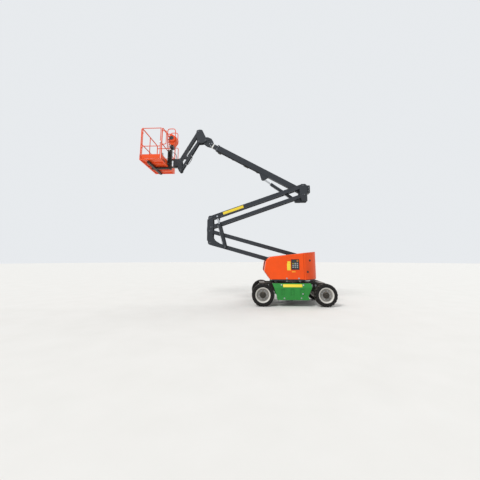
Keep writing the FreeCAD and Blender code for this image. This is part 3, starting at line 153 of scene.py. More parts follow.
def painted(name, colour, roughness=0.34, coat=0.08, dust=0.10, peel=0.05, edge_mm=3.0, wear="9A9A98"):
    """Enamel sprayed on steel: a slight orange peel, soft tone patches, dust on what faces up, rubbed edges.

    The peel is about 2 mm across on the real paint and is drawn at 7 mm, so that it shows.
    """
    material, tree, spot = new_material(name)
    patches = add(tree, "TexNoise", {"Vector": spot, "Scale": 3.0, "Detail": 5.0})
    shade = add(tree, "MapRange", {"Value": patches, "From Min": 0.3, "From Max": 0.7,
                                             "To Min": 0.92, "To Max": 1.06})
    body = add(tree, "HueSaturation", {"Value": shade, "Color": linear(colour)})
    facing = add(tree, "SeparateXYZ", {0: spot.node.outputs["Normal"]})
    upward = add(tree, "MapRange", {"Value": facing.outputs["Z"], "From Min": 0.55, "From Max": 1.0,
                                              "To Min": 0.0, "To Max": dust * 1.6})
    specks = add(tree, "TexNoise", {"Vector": spot, "Scale": 26.0, "Detail": 6.0,
                                              "Roughness": 0.7})
    settled = add(tree, "Math", {0: upward, 1: specks}, operation="MULTIPLY")
    film = add(tree, "Math", {0: settled, 1: dust * 0.18}, operation="ADD")
    dusty = add(tree, "Mix", {"Factor": film, 6: body, 7: linear("B9AC98")},
                data_type="RGBA")
    rounded = add(tree, "Bevel", {"Radius": edge_mm / 1000}, samples=4)
    true_face = add(tree, "NewGeometry")
    agree = add(tree, "VectorMath", {0: rounded, 1: true_face.outputs["Normal"]},
                operation="DOT_PRODUCT")
    rubbed = add(tree, "MapRange", {"Value": agree.outputs["Value"], "From Min": 0.93, "From Max": 0.80,
                                              "To Min": 0.0, "To Max": 0.35})
    worn = add(tree, "Math", {0: rubbed, 1: specks}, operation="MULTIPLY")
    colour_out = add(tree, "Mix", {"Factor": worn, 6: dusty.outputs[2], 7: linear(wear)},
                     data_type="RGBA")
    ripple = add(tree, "TexNoise", {"Vector": spot, "Scale": 140.0, "Detail": 2.0})
    skin = add(tree, "Bump", {"Strength": peel, "Distance": 0.002, "Height": ripple,
                                        "Normal": rounded})
    gloss = add(tree, "MapRange", {"Value": patches, "To Min": roughness - 0.06,
                                             "To Max": roughness + 0.10})
    shader = add(tree, "BsdfPrincipled",
                 {"Base Color": colour_out.outputs[2], "Roughness": gloss, "Normal": skin,
                  "Specular IOR Level": 0.2, "Coat Weight": coat, "Coat Roughness": 0.12})
    add(tree, "OutputMaterial", {"Surface": shader})
    return material


def metal(name, colour, roughness, grain_mm):
    """Bare or plated metal whose grain, left by its machining or by the plating's crystals, has a real size."""
    material, tree, spot = new_material(name)
    grain = add(tree, "TexNoise", {"Vector": spot, "Scale": 1000 / grain_mm / 4, "Detail": 4.0})
    shade = add(tree, "MapRange", {"Value": grain, "To Min": 0.86, "To Max": 1.08})
    body = add(tree, "HueSaturation", {"Value": shade, "Color": linear(colour)})
    gloss = add(tree, "MapRange", {"Value": grain, "To Min": roughness - 0.05, "To Max": roughness + 0.08})
    relief = add(tree, "Bump", {"Strength": 0.12, "Distance": 0.0006, "Height": grain})
    shader = add(tree, "BsdfPrincipled", {"Base Color": body, "Metallic": 1.0, "Roughness": gloss,
                                          "Normal": relief})
    add(tree, "OutputMaterial", {"Surface": shader})
    return material


def dress(material, *nodes):
    """Gives CAD nodes their finish."""
    for node in nodes:
        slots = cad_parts[node].material_slots
        for one in slots:
            one.material = material
        if not slots:
            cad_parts[node].data.materials.append(material)


def turned(bm, centre, axis, profile, sides, hollow=False):
    """Adds a form turned about an axis through a centre. The profile's points are (radius, height).

    A hollow one is a ring: its profile's last point joins its first, and nothing caps it.
    """
    z = Vector(axis).normalized()
    x = z.orthogonal().normalized()
    y = z.cross(x)
    rings = []
    for radius, height in profile:
        middle = Vector(centre) + z * height
        if radius == 0:
            rings.append([bm.verts.new(middle)] * sides)
            continue
        angles = [2 * math.pi * i / sides for i in range(sides)]
        rings.append([bm.verts.new(middle + radius * (x * math.cos(a) + y * math.sin(a))) for a in angles])
    for low, high in zip(rings, rings[1:] + rings[:1] if hollow else rings[1:]):
        for i in range(sides):
            j = (i + 1) % sides
            corners = list(dict.fromkeys((low[i], low[j], high[j], high[i])))
            if len(corners) > 2:
                bm.faces.new(corners)
    if profile[0][0] > 0 and not hollow:
        bm.faces.new(rings[0][::-1])
    if profile[-1][0] > 0 and not hollow:
        bm.faces.new(rings[-1])


def block(bm, centre, size, edge=0.002, turn=None):
    """Adds a pressed or cut block with rounded edges. Turn is a matrix about its centre."""
    one = bmesh.new()
    bmesh.ops.create_cube(one, size=1.0)
    for v in one.verts:
        v.co = Vector(a * b for a, b in zip(v.co, size))
    bmesh.ops.bevel(one, geom=one.edges[:], offset=edge, segments=2, profile=0.6, affect="EDGES")
    place = Matrix.Translation(Vector(centre)) @ (turn.to_4x4() if turn else Matrix.Identity(4))
    bmesh.ops.transform(one, matrix=place, verts=one.verts)
    spare = bpy.data.meshes.new("spare")
    one.to_mesh(spare)
    one.free()
    bm.from_mesh(spare)
    bpy.data.meshes.remove(spare)


def bolt(bm, place, axis, across=0.024, height=0.012):
    """Adds a hexagon bolt head with its washer. Across is the head's width over its corners."""
    turned(bm, place, axis, [(across * 0.72, 0), (across * 0.72, height * 0.2)], 16)
    turned(bm, place, axis, [(across / 2, height * 0.2), (across / 2, height * 0.85), (across * 0.42, height)],
           6)


def piece(name, bm, material, body, smooth_angle=35):
    """Makes the finished mesh an object that rides on a body."""
    mesh = bpy.data.meshes.new(name)
    bmesh.ops.recalc_face_normals(bm, faces=bm.faces)
    bm.to_mesh(mesh)
    bm.free()
    mesh.materials.append(material)
    for face in mesh.polygons:
        face.use_smooth = True
    mesh.set_sharp_from_angle(angle=math.radians(smooth_angle))
    made = bpy.data.objects.new(name, mesh)
    bpy.context.scene.collection.objects.link(made)
    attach(made, body)
    return made


# Satin black chassis enamel: dark, a broad soft highlight, dusty on top.
chassis_black = painted("satin_black_enamel", "1B1C1E", roughness=0.45, coat=0.05, dust=0.35)
# Zinc-plated steel: pale grey with a faint crystal mottle.
zinc = metal("zinc_plated_steel", "B4B7BA", roughness=0.38, grain_mm=3.0)
dress(chassis_black, "chassis_frame")
dress(zinc, "lashing_eyes")

DECK_TOP = 0.720
DECK_BOLT_Y = 0.53
RAIL_FACE_Y = 0.380
deck_bolts = bmesh.new()
for x in (-0.50, -0.25, 0.0, 0.25, 0.50):
    for y in (-DECK_BOLT_Y, DECK_BOLT_Y):
        bolt(deck_bolts, (x, y, DECK_TOP), (0, 0, 1))
piece("deck_bolts", deck_bolts, zinc, "chassis")

# Clamp blocks for the steering and drive hoses, on the rails' outer faces.
clamps = bmesh.new()
for x in (-0.78, -0.66, 0.80):
    for side in (-1, 1):
        block(clamps, (x, side * (RAIL_FACE_Y + 0.009), 0.60), (0.05, 0.018, 0.09), 0.004)
        for z in (0.575, 0.625):
            bolt(clamps, (x, side * (RAIL_FACE_Y + 0.018), z), (0, side, 0), 0.014, 0.008)
piece("rail_clamps", clamps, zinc, "chassis")


# Side covers
# Pressed steel covers over the tanks on each side, powder coated green and held by four bolts each.
# A blank yellow vinyl strip is stuck on the bevelled upper band.

COVER_OUTER_Y = 0.850
BEVEL_LOW_Z = 0.590
BEVEL_RUN = (0.070, 0.126)       # inwards and up
BEVEL_TILT = math.atan2(BEVEL_RUN[0], BEVEL_RUN[1])
# Powder coat: even colour and a fine pebble that breaks up the gloss.
cover_green = painted("green_powder_coat", "1C8534", roughness=0.36, coat=0.05, dust=0.20, peel=0.10)
dress(cover_green, "side_covers")


def vinyl(name, colour, faded_colour):
    """A blank cast-vinyl label: even colour, low sheen, faint scuffs a few centimetres long."""
    material, tree, spot = new_material(name)
    drawn = add(tree, "Mapping", {"Vector": spot, "Scale": (4.0, 1.0, 18.0)})
    scuffs = add(tree, "TexNoise", {"Vector": drawn, "Scale": 14.0, "Detail": 5.0})
    faded = add(tree, "MapRange", {"Value": scuffs, "From Min": 0.35, "From Max": 0.75, "To Min": 0.0,
                                   "To Max": 0.22})
    tone = add(tree, "Mix", {"Factor": faded, 6: linear(colour), 7: linear(faded_colour)}, data_type="RGBA")
    shader = add(tree, "BsdfPrincipled", {"Base Color": tone.outputs[2], "Roughness": 0.42, "IOR": 1.46})
    add(tree, "OutputMaterial", {"Surface": shader})
    return material


def label(bm, centre, length, width, turn=None):
    """Adds a blank vinyl label. It is drawn thicker than the real one, so that it shows."""
    block(bm, centre, (length, 0.0014, width), 0.0004, turn)


yellow_vinyl = vinyl("yellow_vinyl", "F2D52C", "D9C98A")


def bevel_place(x, height, stand):
    """A place on the cover's bevelled band, at a height and standing off its face."""
    share = (height - BEVEL_LOW_Z) / BEVEL_RUN[1]
    y = COVER_OUTER_Y - share * BEVEL_RUN[0]
    return Vector((x, y + stand * math.cos(BEVEL_TILT), height + stand * math.sin(BEVEL_TILT)))


STRIP_X = (-0.258, 0.351)
STRIP_HEIGHT = 0.647
STRIP_WIDTH = 0.098
strips = bmesh.new()
cover_bolts = bmesh.new()
for side in (1, -1):
    mirror = Vector((1, side, 1))
    place = bevel_place(sum(STRIP_X) / 2, STRIP_HEIGHT, 0.001)
    label(strips, place * mirror, STRIP_X[1] - STRIP_X[0], STRIP_WIDTH, Matrix.Rotation(side * BEVEL_TILT, 3, "X"))
    outward = Vector((0, side * math.cos(BEVEL_TILT), math.sin(BEVEL_TILT)))
    for x, z in ((0.401, 0.671), (-0.296, 0.664)):
        bolt(cover_bolts, bevel_place(x, z, 0) * mirror, outward, 0.036, 0.012)
    for x, z in ((0.322, 0.264), (-0.215, 0.267), (-0.264, 0.400)):
        bolt(cover_bolts, (x, side * COVER_OUTER_Y, z), (0, side, 0), 0.032, 0.010)
piece("cover_label_strips", strips, yellow_vinyl, "chassis")
piece("cover_bolts", cover_bolts, zinc, "chassis")

def moulded(name, colour, worn, scale, detail, roughness, ior, relief=None, coat=0.0, **settings):
    """Moulded rubber, plastic or glass: soft patches of a worn colour, and the grain that the mould left.

    A relief is a texture node's kind, its inputs, the output that is its height, and the bump's strength and
    depth. Settings are that texture's.
    """
    material, tree, spot = new_material(name)
    patches = add(tree, "TexNoise", {"Vector": spot, "Scale": scale, "Detail": detail})
    tone = add(tree, "Mix", {"Factor": patches, 6: linear(colour), 7: linear(worn)}, data_type="RGBA")
    finish = {"Base Color": tone.outputs[2], "Roughness": roughness, "IOR": ior, "Coat Weight": coat}
    if relief:
        kind, inputs, height, strength, depth = relief
        texture = add(tree, kind, {"Vector": spot, **inputs}, **settings)
        finish["Normal"] = add(tree, "Bump", {"Strength": strength, "Distance": depth,
                                              "Height": texture.outputs[height]})
    shader = add(tree, "BsdfPrincipled", finish)
    add(tree, "OutputMaterial", {"Surface": shader})
    return material


# Black rubber edging pressed on the covers' lower edge: matt, with a grey bloom and a fine grain.
rubber_black = moulded("moulded_black_rubber", "161616", "2A2927", 60.0, 6.0, roughness=0.62, ior=1.52,
                       relief=("TexNoise", {"Scale": 60.0, "Detail": 6.0}, "Fac", 0.2, 0.0008))
edging = bmesh.new()
for side in (1, -1):
    block(edging, (-0.01, side * 0.842, 0.2115), (0.96, 0.014, 0.008), 0.003)
piece("cover_edging", edging, rubber_black, "chassis")


# Axles and steering
# Welded axle beams under the rails, cast steering knuckles with hydraulic motors, and a tie rod.
# The beams are black enamel, the motors and the tie rod are cast and turned steel.

# Cast iron under black enamel: a coarse sand-cast grain shows through.
cast_black = painted("black_enamel_on_casting", "141416", roughness=0.50, coat=0.0, dust=0.40, peel=0.25)
dress(chassis_black, "front_axle", "rear_axle")
dress(cast_black, "steer_knuckle_left", "steer_knuckle_right")
# Turned and plated bar: a fine mottle and a soft metal sheen.
dress(zinc, "tie_rod")
AXLE_Z = 0.355
WHEEL_X = 1.0
AXLE_TOP = 0.425
DRIVE_FLANGE_Y = 0.695
STEER_MOTOR_Y = 0.640


def around(count, radius, first=0.0):
    """Pairs of offsets spread evenly round a circle, from an angle in degrees."""
    angles = [math.radians(first + 360 / count * i) for i in range(count)]
    return [(radius * math.cos(a), radius * math.sin(a)) for a in angles]


axle_bolts = bmesh.new()
for side in (-1, 1):
    for x in (-WHEEL_X - 0.035, -WHEEL_X + 0.035):
        for y in (0.35, 0.45):
            bolt(axle_bolts, (x, side * y, AXLE_TOP), (0, 0, -1), 0.030, 0.014)
    for dx, dz in around(6, 0.072, 30):
        bolt(axle_bolts, (dx - WHEEL_X, side * DRIVE_FLANGE_Y, AXLE_Z + dz), (0, side, 0), 0.020, 0.010)
piece("rear_axle_bolts", axle_bolts, zinc, "chassis")
for name, side in (("left", 1), ("right", -1)):
    fittings = bmesh.new()
    for z in (0.315, 0.395):
        turned(fittings, (WHEEL_X + 0.03, side * STEER_MOTOR_Y, z), (1, 0, 0),
               [(0.012, 0), (0.012, 0.03), (0.008, 0.032), (0.008, 0.042), (0, 0.042)], 12)
    piece(f"steer_motor_fittings_{name}", fittings, zinc, f"steering_{name}")


# Wheels
# Foam-filled rubber tyres with deep lugs on steel rims, sprayed warm white.
# Each rim is held by eight wheel nuts round a black hub reduction gear's cover.

TYRE_RADIUS = 0.355
WHEEL_Y = 0.750
DISC_FACE = 0.038                # the rim's dished disc, out from the wheel's middle plane
HUB_FACE = 0.105
NUT_CIRCLE = 0.135
NUTS = 8
COVER_BOLT_CIRCLE = 0.069
COVER_BOLTS = 10
VALVE_RADIUS = 0.176


def from_axle(tree, spot):
    """How far a place is from its wheel's axle, on whichever wheel it is."""
    where = add(tree, "SeparateXYZ", {0: spot})
    from_middle = add(tree, "Math", {0: where.outputs["X"]}, operation="ABSOLUTE")
    along = add(tree, "Math", {0: from_middle, 1: WHEEL_X}, operation="SUBTRACT")
    above = add(tree, "Math", {0: where.outputs["Z"], 1: AXLE_Z}, operation="SUBTRACT")
    arm = add(tree, "CombineXYZ", {0: along, 1: above})
    return add(tree, "VectorMath", {0: arm}, operation="LENGTH").outputs["Value"]


# Tread rubber: near black, chalky with concrete dust on the lugs' faces, cleaner in the grooves.
tread_rubber, tree, spot = new_material("tread_rubber")
rubbed = add(tree, "MapRange", {"Value": from_axle(tree, spot), "From Min": TYRE_RADIUS - 0.012,
                                "From Max": TYRE_RADIUS, "To Min": 0.06, "To Max": 0.40})
dirt = add(tree, "TexNoise", {"Vector": spot, "Scale": 22.0, "Detail": 8.0, "Roughness": 0.65})
chalk = add(tree, "Math", {0: rubbed, 1: dirt}, operation="MULTIPLY")
tone = add(tree, "Mix", {"Factor": chalk, 6: linear("151516"), 7: linear("8A8177")}, data_type="RGBA")
pits = add(tree, "TexNoise", {"Vector": spot, "Scale": 180.0, "Detail": 3.0})
grain = add(tree, "Bump", {"Strength": 0.25, "Distance": 0.001, "Height": pits})
shader = add(tree, "BsdfPrincipled", {"Base Color": tone.outputs[2], "Roughness": 0.82,
                                      "Specular IOR Level": 0.25, "Normal": grain})
add(tree, "OutputMaterial", {"Surface": shader})

# Rim enamel: warm white; the recessed dish inside the flange is painted darker grey as painted shade, mottled with
# brake and road dust.
rim_white, tree, spot = new_material("warm_white_rim_enamel")
painted_dish_shade = add(tree, "MapRange", {"Value": from_axle(tree, spot), "From Min": 0.205, "From Max": 0.185,
                              "To Min": 0.06, "To Max": 0.85})
smut = add(tree, "TexNoise", {"Vector": spot, "Scale": 30.0, "Detail": 7.0})
spread = add(tree, "MapRange", {"Value": smut, "To Min": 0.55, "To Max": 1.25})
dish_shade_and_smut = add(tree, "Math", {0: painted_dish_shade, 1: spread}, operation="MULTIPLY", use_clamp=True)
tone = add(tree, "Mix", {"Factor": dish_shade_and_smut, 6: linear("D8D5CE"), 7: linear("5F5B57")}, data_type="RGBA")
rounded = add(tree, "Bevel", {"Radius": 0.003}, samples=4)
shader = add(tree, "BsdfPrincipled", {"Base Color": tone.outputs[2], "Roughness": 0.42, "IOR": 1.5,
                                      "Coat Weight": 0.1, "Normal": rounded})
add(tree, "OutputMaterial", {"Surface": shader})

for end, x in (("front", WHEEL_X), ("rear", -WHEEL_X)):
    for name, side in (("left", 1), ("right", -1)):
        wheel = f"wheel_{end}_{name}"
        dress(tread_rubber, f"tyre_{end}_{name}")
        dress(rim_white, f"rim_{end}_{name}")
        middle = Vector((x, side * WHEEL_Y, AXLE_Z))
        axis = Vector((0, side, 0))
        disc = middle + axis * DISC_FACE
        hub = bmesh.new()
        turned(hub, middle, axis,
               [(0.098, DISC_FACE + 0.0005), (0.100, DISC_FACE + 0.012), (0.0945, DISC_FACE + 0.016),
                (0.0945, HUB_FACE - 0.014), (0.088, HUB_FACE + 0.001), (0.050, HUB_FACE + 0.002),
                (0.046, HUB_FACE + 0.010), (0.020, HUB_FACE + 0.012), (0, HUB_FACE + 0.012)], 40)
        for dx, dz in around(COVER_BOLTS, COVER_BOLT_CIRCLE):
            bolt(hub, middle + Vector((dx, 0, dz)) + axis * (HUB_FACE + 0.0015), axis, 0.015, 0.006)
        piece(f"hub_cover_{end}_{name}", hub, cast_black, wheel)
        # A washer, a hexagon and the stud's end for each nut, and the valve stem.
        nuts = bmesh.new()
        for dx, dz in around(NUTS, NUT_CIRCLE, 180 / NUTS):
            foot = disc + Vector((dx, 0, dz))
            turned(nuts, foot, axis, [(0.017, 0.0003), (0.017, 0.004), (0.0135, 0.005)], 20)
            turned(nuts, foot, axis, [(0.0135, 0.004), (0.0135, 0.018), (0.0115, 0.020)], 6)
            turned(nuts, foot, axis, [(0.007, 0.018), (0.007, 0.030), (0.005, 0.032)], 12)
        turned(nuts, disc + Vector((0, 0, VALVE_RADIUS)), axis,
               [(0.007, 0), (0.007, 0.012), (0.005, 0.013), (0.005, 0.030), (0, 0.031)], 12)
        piece(f"wheel_nuts_{end}_{name}", nuts, zinc, wheel)
        # Two moulded ribs round each sidewall.
        rings = bmesh.new()
        for out in (-1, 1):
            for radius, stand in ((0.285, 0.1238), (0.262, 0.1228)):
                rib = [(radius + across, rise) for across, rise in ((-0.004, 0.0), (-0.0015, 0.0052),
                                                                    (0.0015, 0.0052), (0.004, 0.0))]
                turned(rings, middle + axis * out * (stand - 0.004), axis * out, rib, 72, hollow=True)
        piece(f"sidewall_rings_{end}_{name}", rings, tread_rubber, wheel)


# Slewing ring
# A geared ring bolted to the deck. The teeth face out and a pinion under the tray turns the machine on it.

# Machined steel with grease on it: dark, glossy in streaks.
ring_steel = metal("greased_ring_steel", "6E6C68", roughness=0.30, grain_mm=5.0)
dress(ring_steel, "slew_ring")
RING_RADIUS = 0.460
RING_MIDDLE_Z = 0.7425
TEETH = 96
teeth = bmesh.new()
for i in range(TEETH):
    a = 2 * math.pi * i / TEETH
    out = Vector((math.cos(a), math.sin(a), 0))
    block(teeth, out * (RING_RADIUS + 0.004) + Vector((0, 0, RING_MIDDLE_Z)), (0.014, 0.013, 0.036), 0.0018,
          Matrix.Rotation(a, 3, "Z"))
piece("slew_ring_teeth", teeth, ring_steel, "chassis")


# Turntable
# A plate tray on the ring carries the mast plates, the hood walls and the riser cylinder's lugs.
# Steel plate, welded and sprayed dark grey. Lifting rings hang under its edge.

# Dark blue-grey two-pack enamel on the booms and the turntable: satin, with tone patches and rubbed edges.
boom_grey = painted("dark_blue_grey_enamel", "2C323A", roughness=0.40, coat=0.06, dust=0.16)
dress(boom_grey, "turntable_frame")
TRAY_LOW = 0.800
LIFTING_RING_Y = 0.715
shackles = bmesh.new()
for x in (0.212, -0.207):
    for side in (1, -1):
        place = Vector((x, side * LIFTING_RING_Y, TRAY_LOW - 0.003))
        block(shackles, place, (0.070, 0.020, 0.010), 0.003)
        for dx in (-0.02, 0.02):
            turned(shackles, place + Vector((dx, 0, -0.005)), (0, 0, -1),
                   [(0.006, 0), (0.006, 0.018), (0.004, 0.022), (0, 0.022)], 12)
        block(shackles, place + Vector((0, 0, -0.026)), (0.052, 0.012, 0.012), 0.005)
piece("lifting_rings", shackles, zinc, "turntable")

PIN_OUTER_Y = 0.195
PIN_CAP_RADIUS = 0.030
LOWER_PIN = (-0.599, 1.087)
LOWER_LINK_PIN = (-0.584, 1.510)
# Phosphated steel: dark grey with a fine crystal, oily.
phosphated = metal("phosphated_pin_steel", "6A6C70", roughness=0.42, grain_mm=3.0)


def pin_caps(name, places, body, half_width=PIN_OUTER_Y, radius=PIN_CAP_RADIUS, keeper=(0.0, -1.0)):
    """A turned end face on each pivot pin, and beside it the bolt of the keeper that stops it from turning."""
    caps = bmesh.new()
    drop = Vector((keeper[0], 0, keeper[1])).normalized()
    for x, z in places:
        for side in (-1, 1):
            axis = Vector((0, side, 0))
            face = Vector((x, side * half_width, z))
            turned(caps, face, axis, [(radius * 0.96, -0.001), (radius * 0.90, 0.0022), (radius * 0.42, 0.0026),
                                      (radius * 0.36, 0.0008), (0, 0.0008)], 32)
            bolt(caps, face + drop * radius * 1.9 - axis * 0.0095, axis, 0.020, 0.009)
    piece(name, caps, phosphated, body)


pin_caps("mast_pin_caps", (LOWER_PIN, LOWER_LINK_PIN), "turntable", keeper=(1.0, 0.0))


# Counterweight
# One iron casting bolted behind the turntable, filled and sprayed in the hood's orange.
# Its side holes take the bars that it is lifted by.

# Filled casting under orange enamel: the same orange as the hoods, duller, with soft hollows 60 mm across.
iron_orange = painted("orange_enamel_on_casting", "EE4E02", roughness=0.42, coat=0.06, dust=0.12, peel=0.16,
                      edge_mm=6.0, wear="C2521E")
dress(iron_orange, "counterweight")
HOLE_RADIUS = 0.025
HOLE_PLACES = ((-0.561, 1.442), (-0.469, 1.078))
GROMMET_RADIUS = 0.037
GROMMET_STEPS = 36
TAIL_RADIUS = 0.870
HOOD_OUTER_Y = 0.780


def tail_y(x):
    """How far out the tail's side is: round at the back, and never past the hoods' flat sides."""
    return min(HOOD_OUTER_Y, math.sqrt(TAIL_RADIUS ** 2 - x ** 2))


# A dark cup inside each hole: painted shade that darkens the hole's depth.
painted_hole_shade_cups = bmesh.new()
for x, z in HOLE_PLACES:
    for side in (1, -1):
        turned(painted_hole_shade_cups, (x, side * (tail_y(abs(x) + HOLE_RADIUS) - 0.090), z), (0, side, 0),
               [(HOLE_RADIUS - 0.0008, 0.088), (HOLE_RADIUS - 0.0008, 0.002), (0, 0.001)], 32)
piece("lifting_hole_shade", painted_hole_shade_cups, chassis_black, "turntable")

# A raised ring round each hole, which follows the tail's round side.
GROMMET_PROFILE = ((HOLE_RADIUS - 0.002, -0.004), (HOLE_RADIUS + 0.001, 0.003), (GROMMET_RADIUS - 0.003, 0.003),
                   (GROMMET_RADIUS, 0.0))
grommets = bmesh.new()
for x, z in HOLE_PLACES:
    for side in (1, -1):
        rings = [[grommets.verts.new((x + dx, side * (tail_y(x + dx) + 0.0006 + lift), z + dz))
                  for dx, dz in around(GROMMET_STEPS, radius)] for radius, lift in GROMMET_PROFILE]
        for low, high in zip(rings, rings[1:]):
            for i in range(GROMMET_STEPS):
                j = (i + 1) % GROMMET_STEPS
                grommets.faces.new((low[i], low[j], high[j], high[i]))
piece("lifting_hole_grommets", grommets, chassis_black, "turntable")


# Hoods
# Two glass-fibre hoods, moulded with a rounded outer edge, gel coated orange and hinged along the roof's inner
# edge. Each is held shut by two zinc-plated draw latches, and sealing strip is pushed on its lower edge.

# Gel coat: strong colour, a clear gloss with long ripples, paler where the edge is worn thin.
hood_orange = painted("orange_gel_coat", "F25002", roughness=0.30, coat=0.10, dust=0.10, peel=0.06, edge_mm=6.0,
                      wear="F7A277")
dress(hood_orange, "hood_left", "hood_right")
# Moulded ABS: black, low sheen with a leather-like grain about 1 mm across, drawn at 4 mm.
black_abs = moulded("moulded_black_abs", "131417", "2B2D31", 18.0, 4.0, roughness=0.46, ior=1.53,
                    relief=("TexVoronoi", {"Scale": 250.0}, "Distance", 0.18, 0.0008))
LATCH_Z = 0.872
SEAL_Z = 0.8385
for name, side in (("left", 1), ("right", -1)):
    body = f"hood_{name}"
    latches = bmesh.new()
    for x in (-0.167, 0.222):
        centre = Vector((x, side * (HOOD_OUTER_Y + 0.002), LATCH_Z))
        block(latches, centre, (0.050, 0.004, 0.040), 0.0015)
        block(latches, centre + Vector((0, side * 0.006, -0.006)), (0.034, 0.010, 0.030), 0.004)
        turned(latches, centre + Vector((0, side * 0.001, 0.012)), (0, side, 0),
               [(0.006, 0), (0.006, 0.012), (0, 0.013)], 14)
    piece(f"hood_latches_{name}", latches, zinc, body)
    seal = bmesh.new()
    block(seal, (0.19, side * 0.777, SEAL_Z), (1.02, 0.012, 0.008), 0.003)
    piece(f"hood_seal_{name}", seal, rubber_black, body)

LABEL_FACE_Y = HOOD_OUTER_Y + 0.0008
labels = bmesh.new()
for x, z in (((0.088, 0.205), (1.129, 1.345)), ((0.088, 0.190), (1.348, 1.416))):
    label(labels, (sum(x) / 2, LABEL_FACE_Y, sum(z) / 2), x[1] - x[0], z[1] - z[0])
piece("hood_labels", labels, yellow_vinyl, "hood_left")
# A small orange-yellow label under the panel.
amber_vinyl = vinyl("amber_vinyl", "F79A1E", "D98A30")
small_label = bmesh.new()
label(small_label, (-0.006, LABEL_FACE_Y, 1.086), 0.122, 0.044)
piece("hood_small_label", small_label, amber_vinyl, "hood_left")


# Ground control panel
# A folded steel box behind an opening in the left hood, with a moulded black face.
# It carries a display, six toggle switches, a key switch and a red stop button.

PANEL_X = (-0.193, 0.067)
PANEL_Z = (1.146, 1.481)
PANEL_FACE_Y = HOOD_OUTER_Y - 0.012
BEZEL_WIDTH = 0.012
dress(black_abs, "ground_control_panel")
bezel = bmesh.new()
width = PANEL_X[1] - PANEL_X[0]
height = PANEL_Z[1] - PANEL_Z[0]
for dx, dz in ((-1, 0), (1, 0), (0, -1), (0, 1)):
    block(bezel, (sum(PANEL_X) / 2 + dx * (width / 2 - 0.014), PANEL_FACE_Y + 0.003,
                  sum(PANEL_Z) / 2 + dz * (height / 2 - 0.014)),
          (BEZEL_WIDTH if dx else width - 0.024, 0.008, BEZEL_WIDTH if dz else height - 0.024), 0.0025)
piece("panel_bezel", bezel, black_abs, "turntable")
# Satin light grey plastic for the switch plates, soiled in patches.
grey_abs = moulded("moulded_light_grey_abs", "B9BBBC", "8D8E8E", 35.0, 5.0, roughness=0.5, ior=1.53)
# Red moulded button: saturated, smooth and glossy.
red_button = moulded("moulded_red_nylon", "C41E18", "A81812", 40.0, 3.0, roughness=0.3, ior=1.53)
# Display glass: dark, smooth, with a faint green tint behind it.
display_glass = moulded("dark_display_glass", "10181A", "1D2A2A", 12.0, 2.0, roughness=0.08, ior=1.5, coat=0.6)


def toggle(bm, place, axis, lean):
    """A bat-handled switch with its ring nut."""
    axis = Vector(axis)
    turned(bm, place, axis, [(0.009, 0), (0.009, 0.003), (0.006, 0.004), (0.006, 0.008)], 6)
    way = (axis + Vector(lean)).normalized()
    turned(bm, Vector(place) + axis * 0.006, way, [(0.0025, 0), (0.0045, 0.020), (0.0040, 0.024), (0, 0.025)], 12)


STOP_PLACE = (-0.140, PANEL_FACE_Y, 1.425)
KEY_PLACE = (0.005, PANEL_FACE_Y, 1.345)
switch_plates = bmesh.new()
switches = bmesh.new()
for row, z in enumerate((1.225, 1.285, 1.345)):
    for column, x in enumerate((-0.135, -0.065, 0.005)):
        if (row, column) == (2, 2):
            continue
        block(switch_plates, (x, PANEL_FACE_Y + 0.0012, z), (0.044, 0.0024, 0.040), 0.001)
        toggle(switches, (x, PANEL_FACE_Y + 0.0024, z), (0, 1, 0), (0, 0, 0.45 if (row + column) % 2 else -0.45))
piece("panel_switch_plates", switch_plates, grey_abs, "turntable")
piece("panel_switches", switches, zinc, "turntable")
screen = bmesh.new()
block(screen, (-0.030, PANEL_FACE_Y + 0.002, 1.425), (0.105, 0.004, 0.058), 0.002)
piece("panel_display", screen, display_glass, "turntable")
stop = bmesh.new()
turned(stop, STOP_PLACE, (0, 1, 0), [(0.013, 0), (0.013, 0.006), (0.020, 0.007), (0.021, 0.010),
                                     (0.014, 0.0115), (0, 0.012)], 28)
piece("panel_stop_button", stop, red_button, "turntable")
ring = bmesh.new()
turned(ring, STOP_PLACE, (0, 1, 0), [(0.027, 0), (0.027, 0.002), (0.0, 0.002)], 28)
turned(ring, KEY_PLACE, (0, 1, 0), [(0.014, 0), (0.014, 0.004), (0.009, 0.006), (0.0, 0.006)], 24)
piece("panel_rings", ring, yellow_vinyl, "turntable")


# Battery packs
# Two rows of deep-cycle batteries on the tray behind the hoods, in polypropylene cases.
# Flooded cells have screw caps on top, and plated bars bridge their posts.

# Polypropylene: dark grey, waxy, with a dusty top.
battery_case = painted("dark_polypropylene", "2A2C30", roughness=0.48, coat=0.0, dust=0.45, wear="55565A")
dress(battery_case, "battery_packs")
PACK_TOP = 1.110
PACK_PITCH = 0.21
CAP_Y = 0.43
POST_Y = 0.59
caps = bmesh.new()
straps = bmesh.new()
for side in (1, -1):
    for i in range(4):
        x0 = -0.180 + PACK_PITCH * i
        for dx in (-0.06, 0.0, 0.06):
            turned(caps, (x0 + dx, side * CAP_Y, PACK_TOP), (0, 0, 1),
                   [(0.016, 0), (0.016, 0.010), (0.012, 0.012), (0, 0.012)], 16)
        for dx in (-0.07, 0.07):
            turned(straps, (x0 + dx, side * POST_Y, PACK_TOP), (0, 0, 1),
                   [(0.012, 0), (0.010, 0.018), (0, 0.018)], 16)
        block(straps, (x0, side * POST_Y, PACK_TOP + 0.021), (0.17, 0.022, 0.006), 0.002)
piece("battery_caps", caps, amber_vinyl, "turntable")
piece("battery_straps", straps, zinc, "turntable")


# Lower riser
# Twin box beams with cross tubes, arm below and link above, on pins between the mast and the knuckle.
# Folded and seam-welded steel, sprayed dark grey. Grease nipples sit over each pin.

dress(boom_grey, "lower_riser_arm", "lower_riser_link")
LOWER_TILT = math.radians(15.8)
ARM_HALF = 0.070
LINK_HALF = 0.060
WELD_RUN = (0.12, 3.33, 66)      # where a riser's welds start, how long they are, and their ripples
WELD_FACES = (0.0905, 0.1595)    # the inner and outer faces of one of its two beams


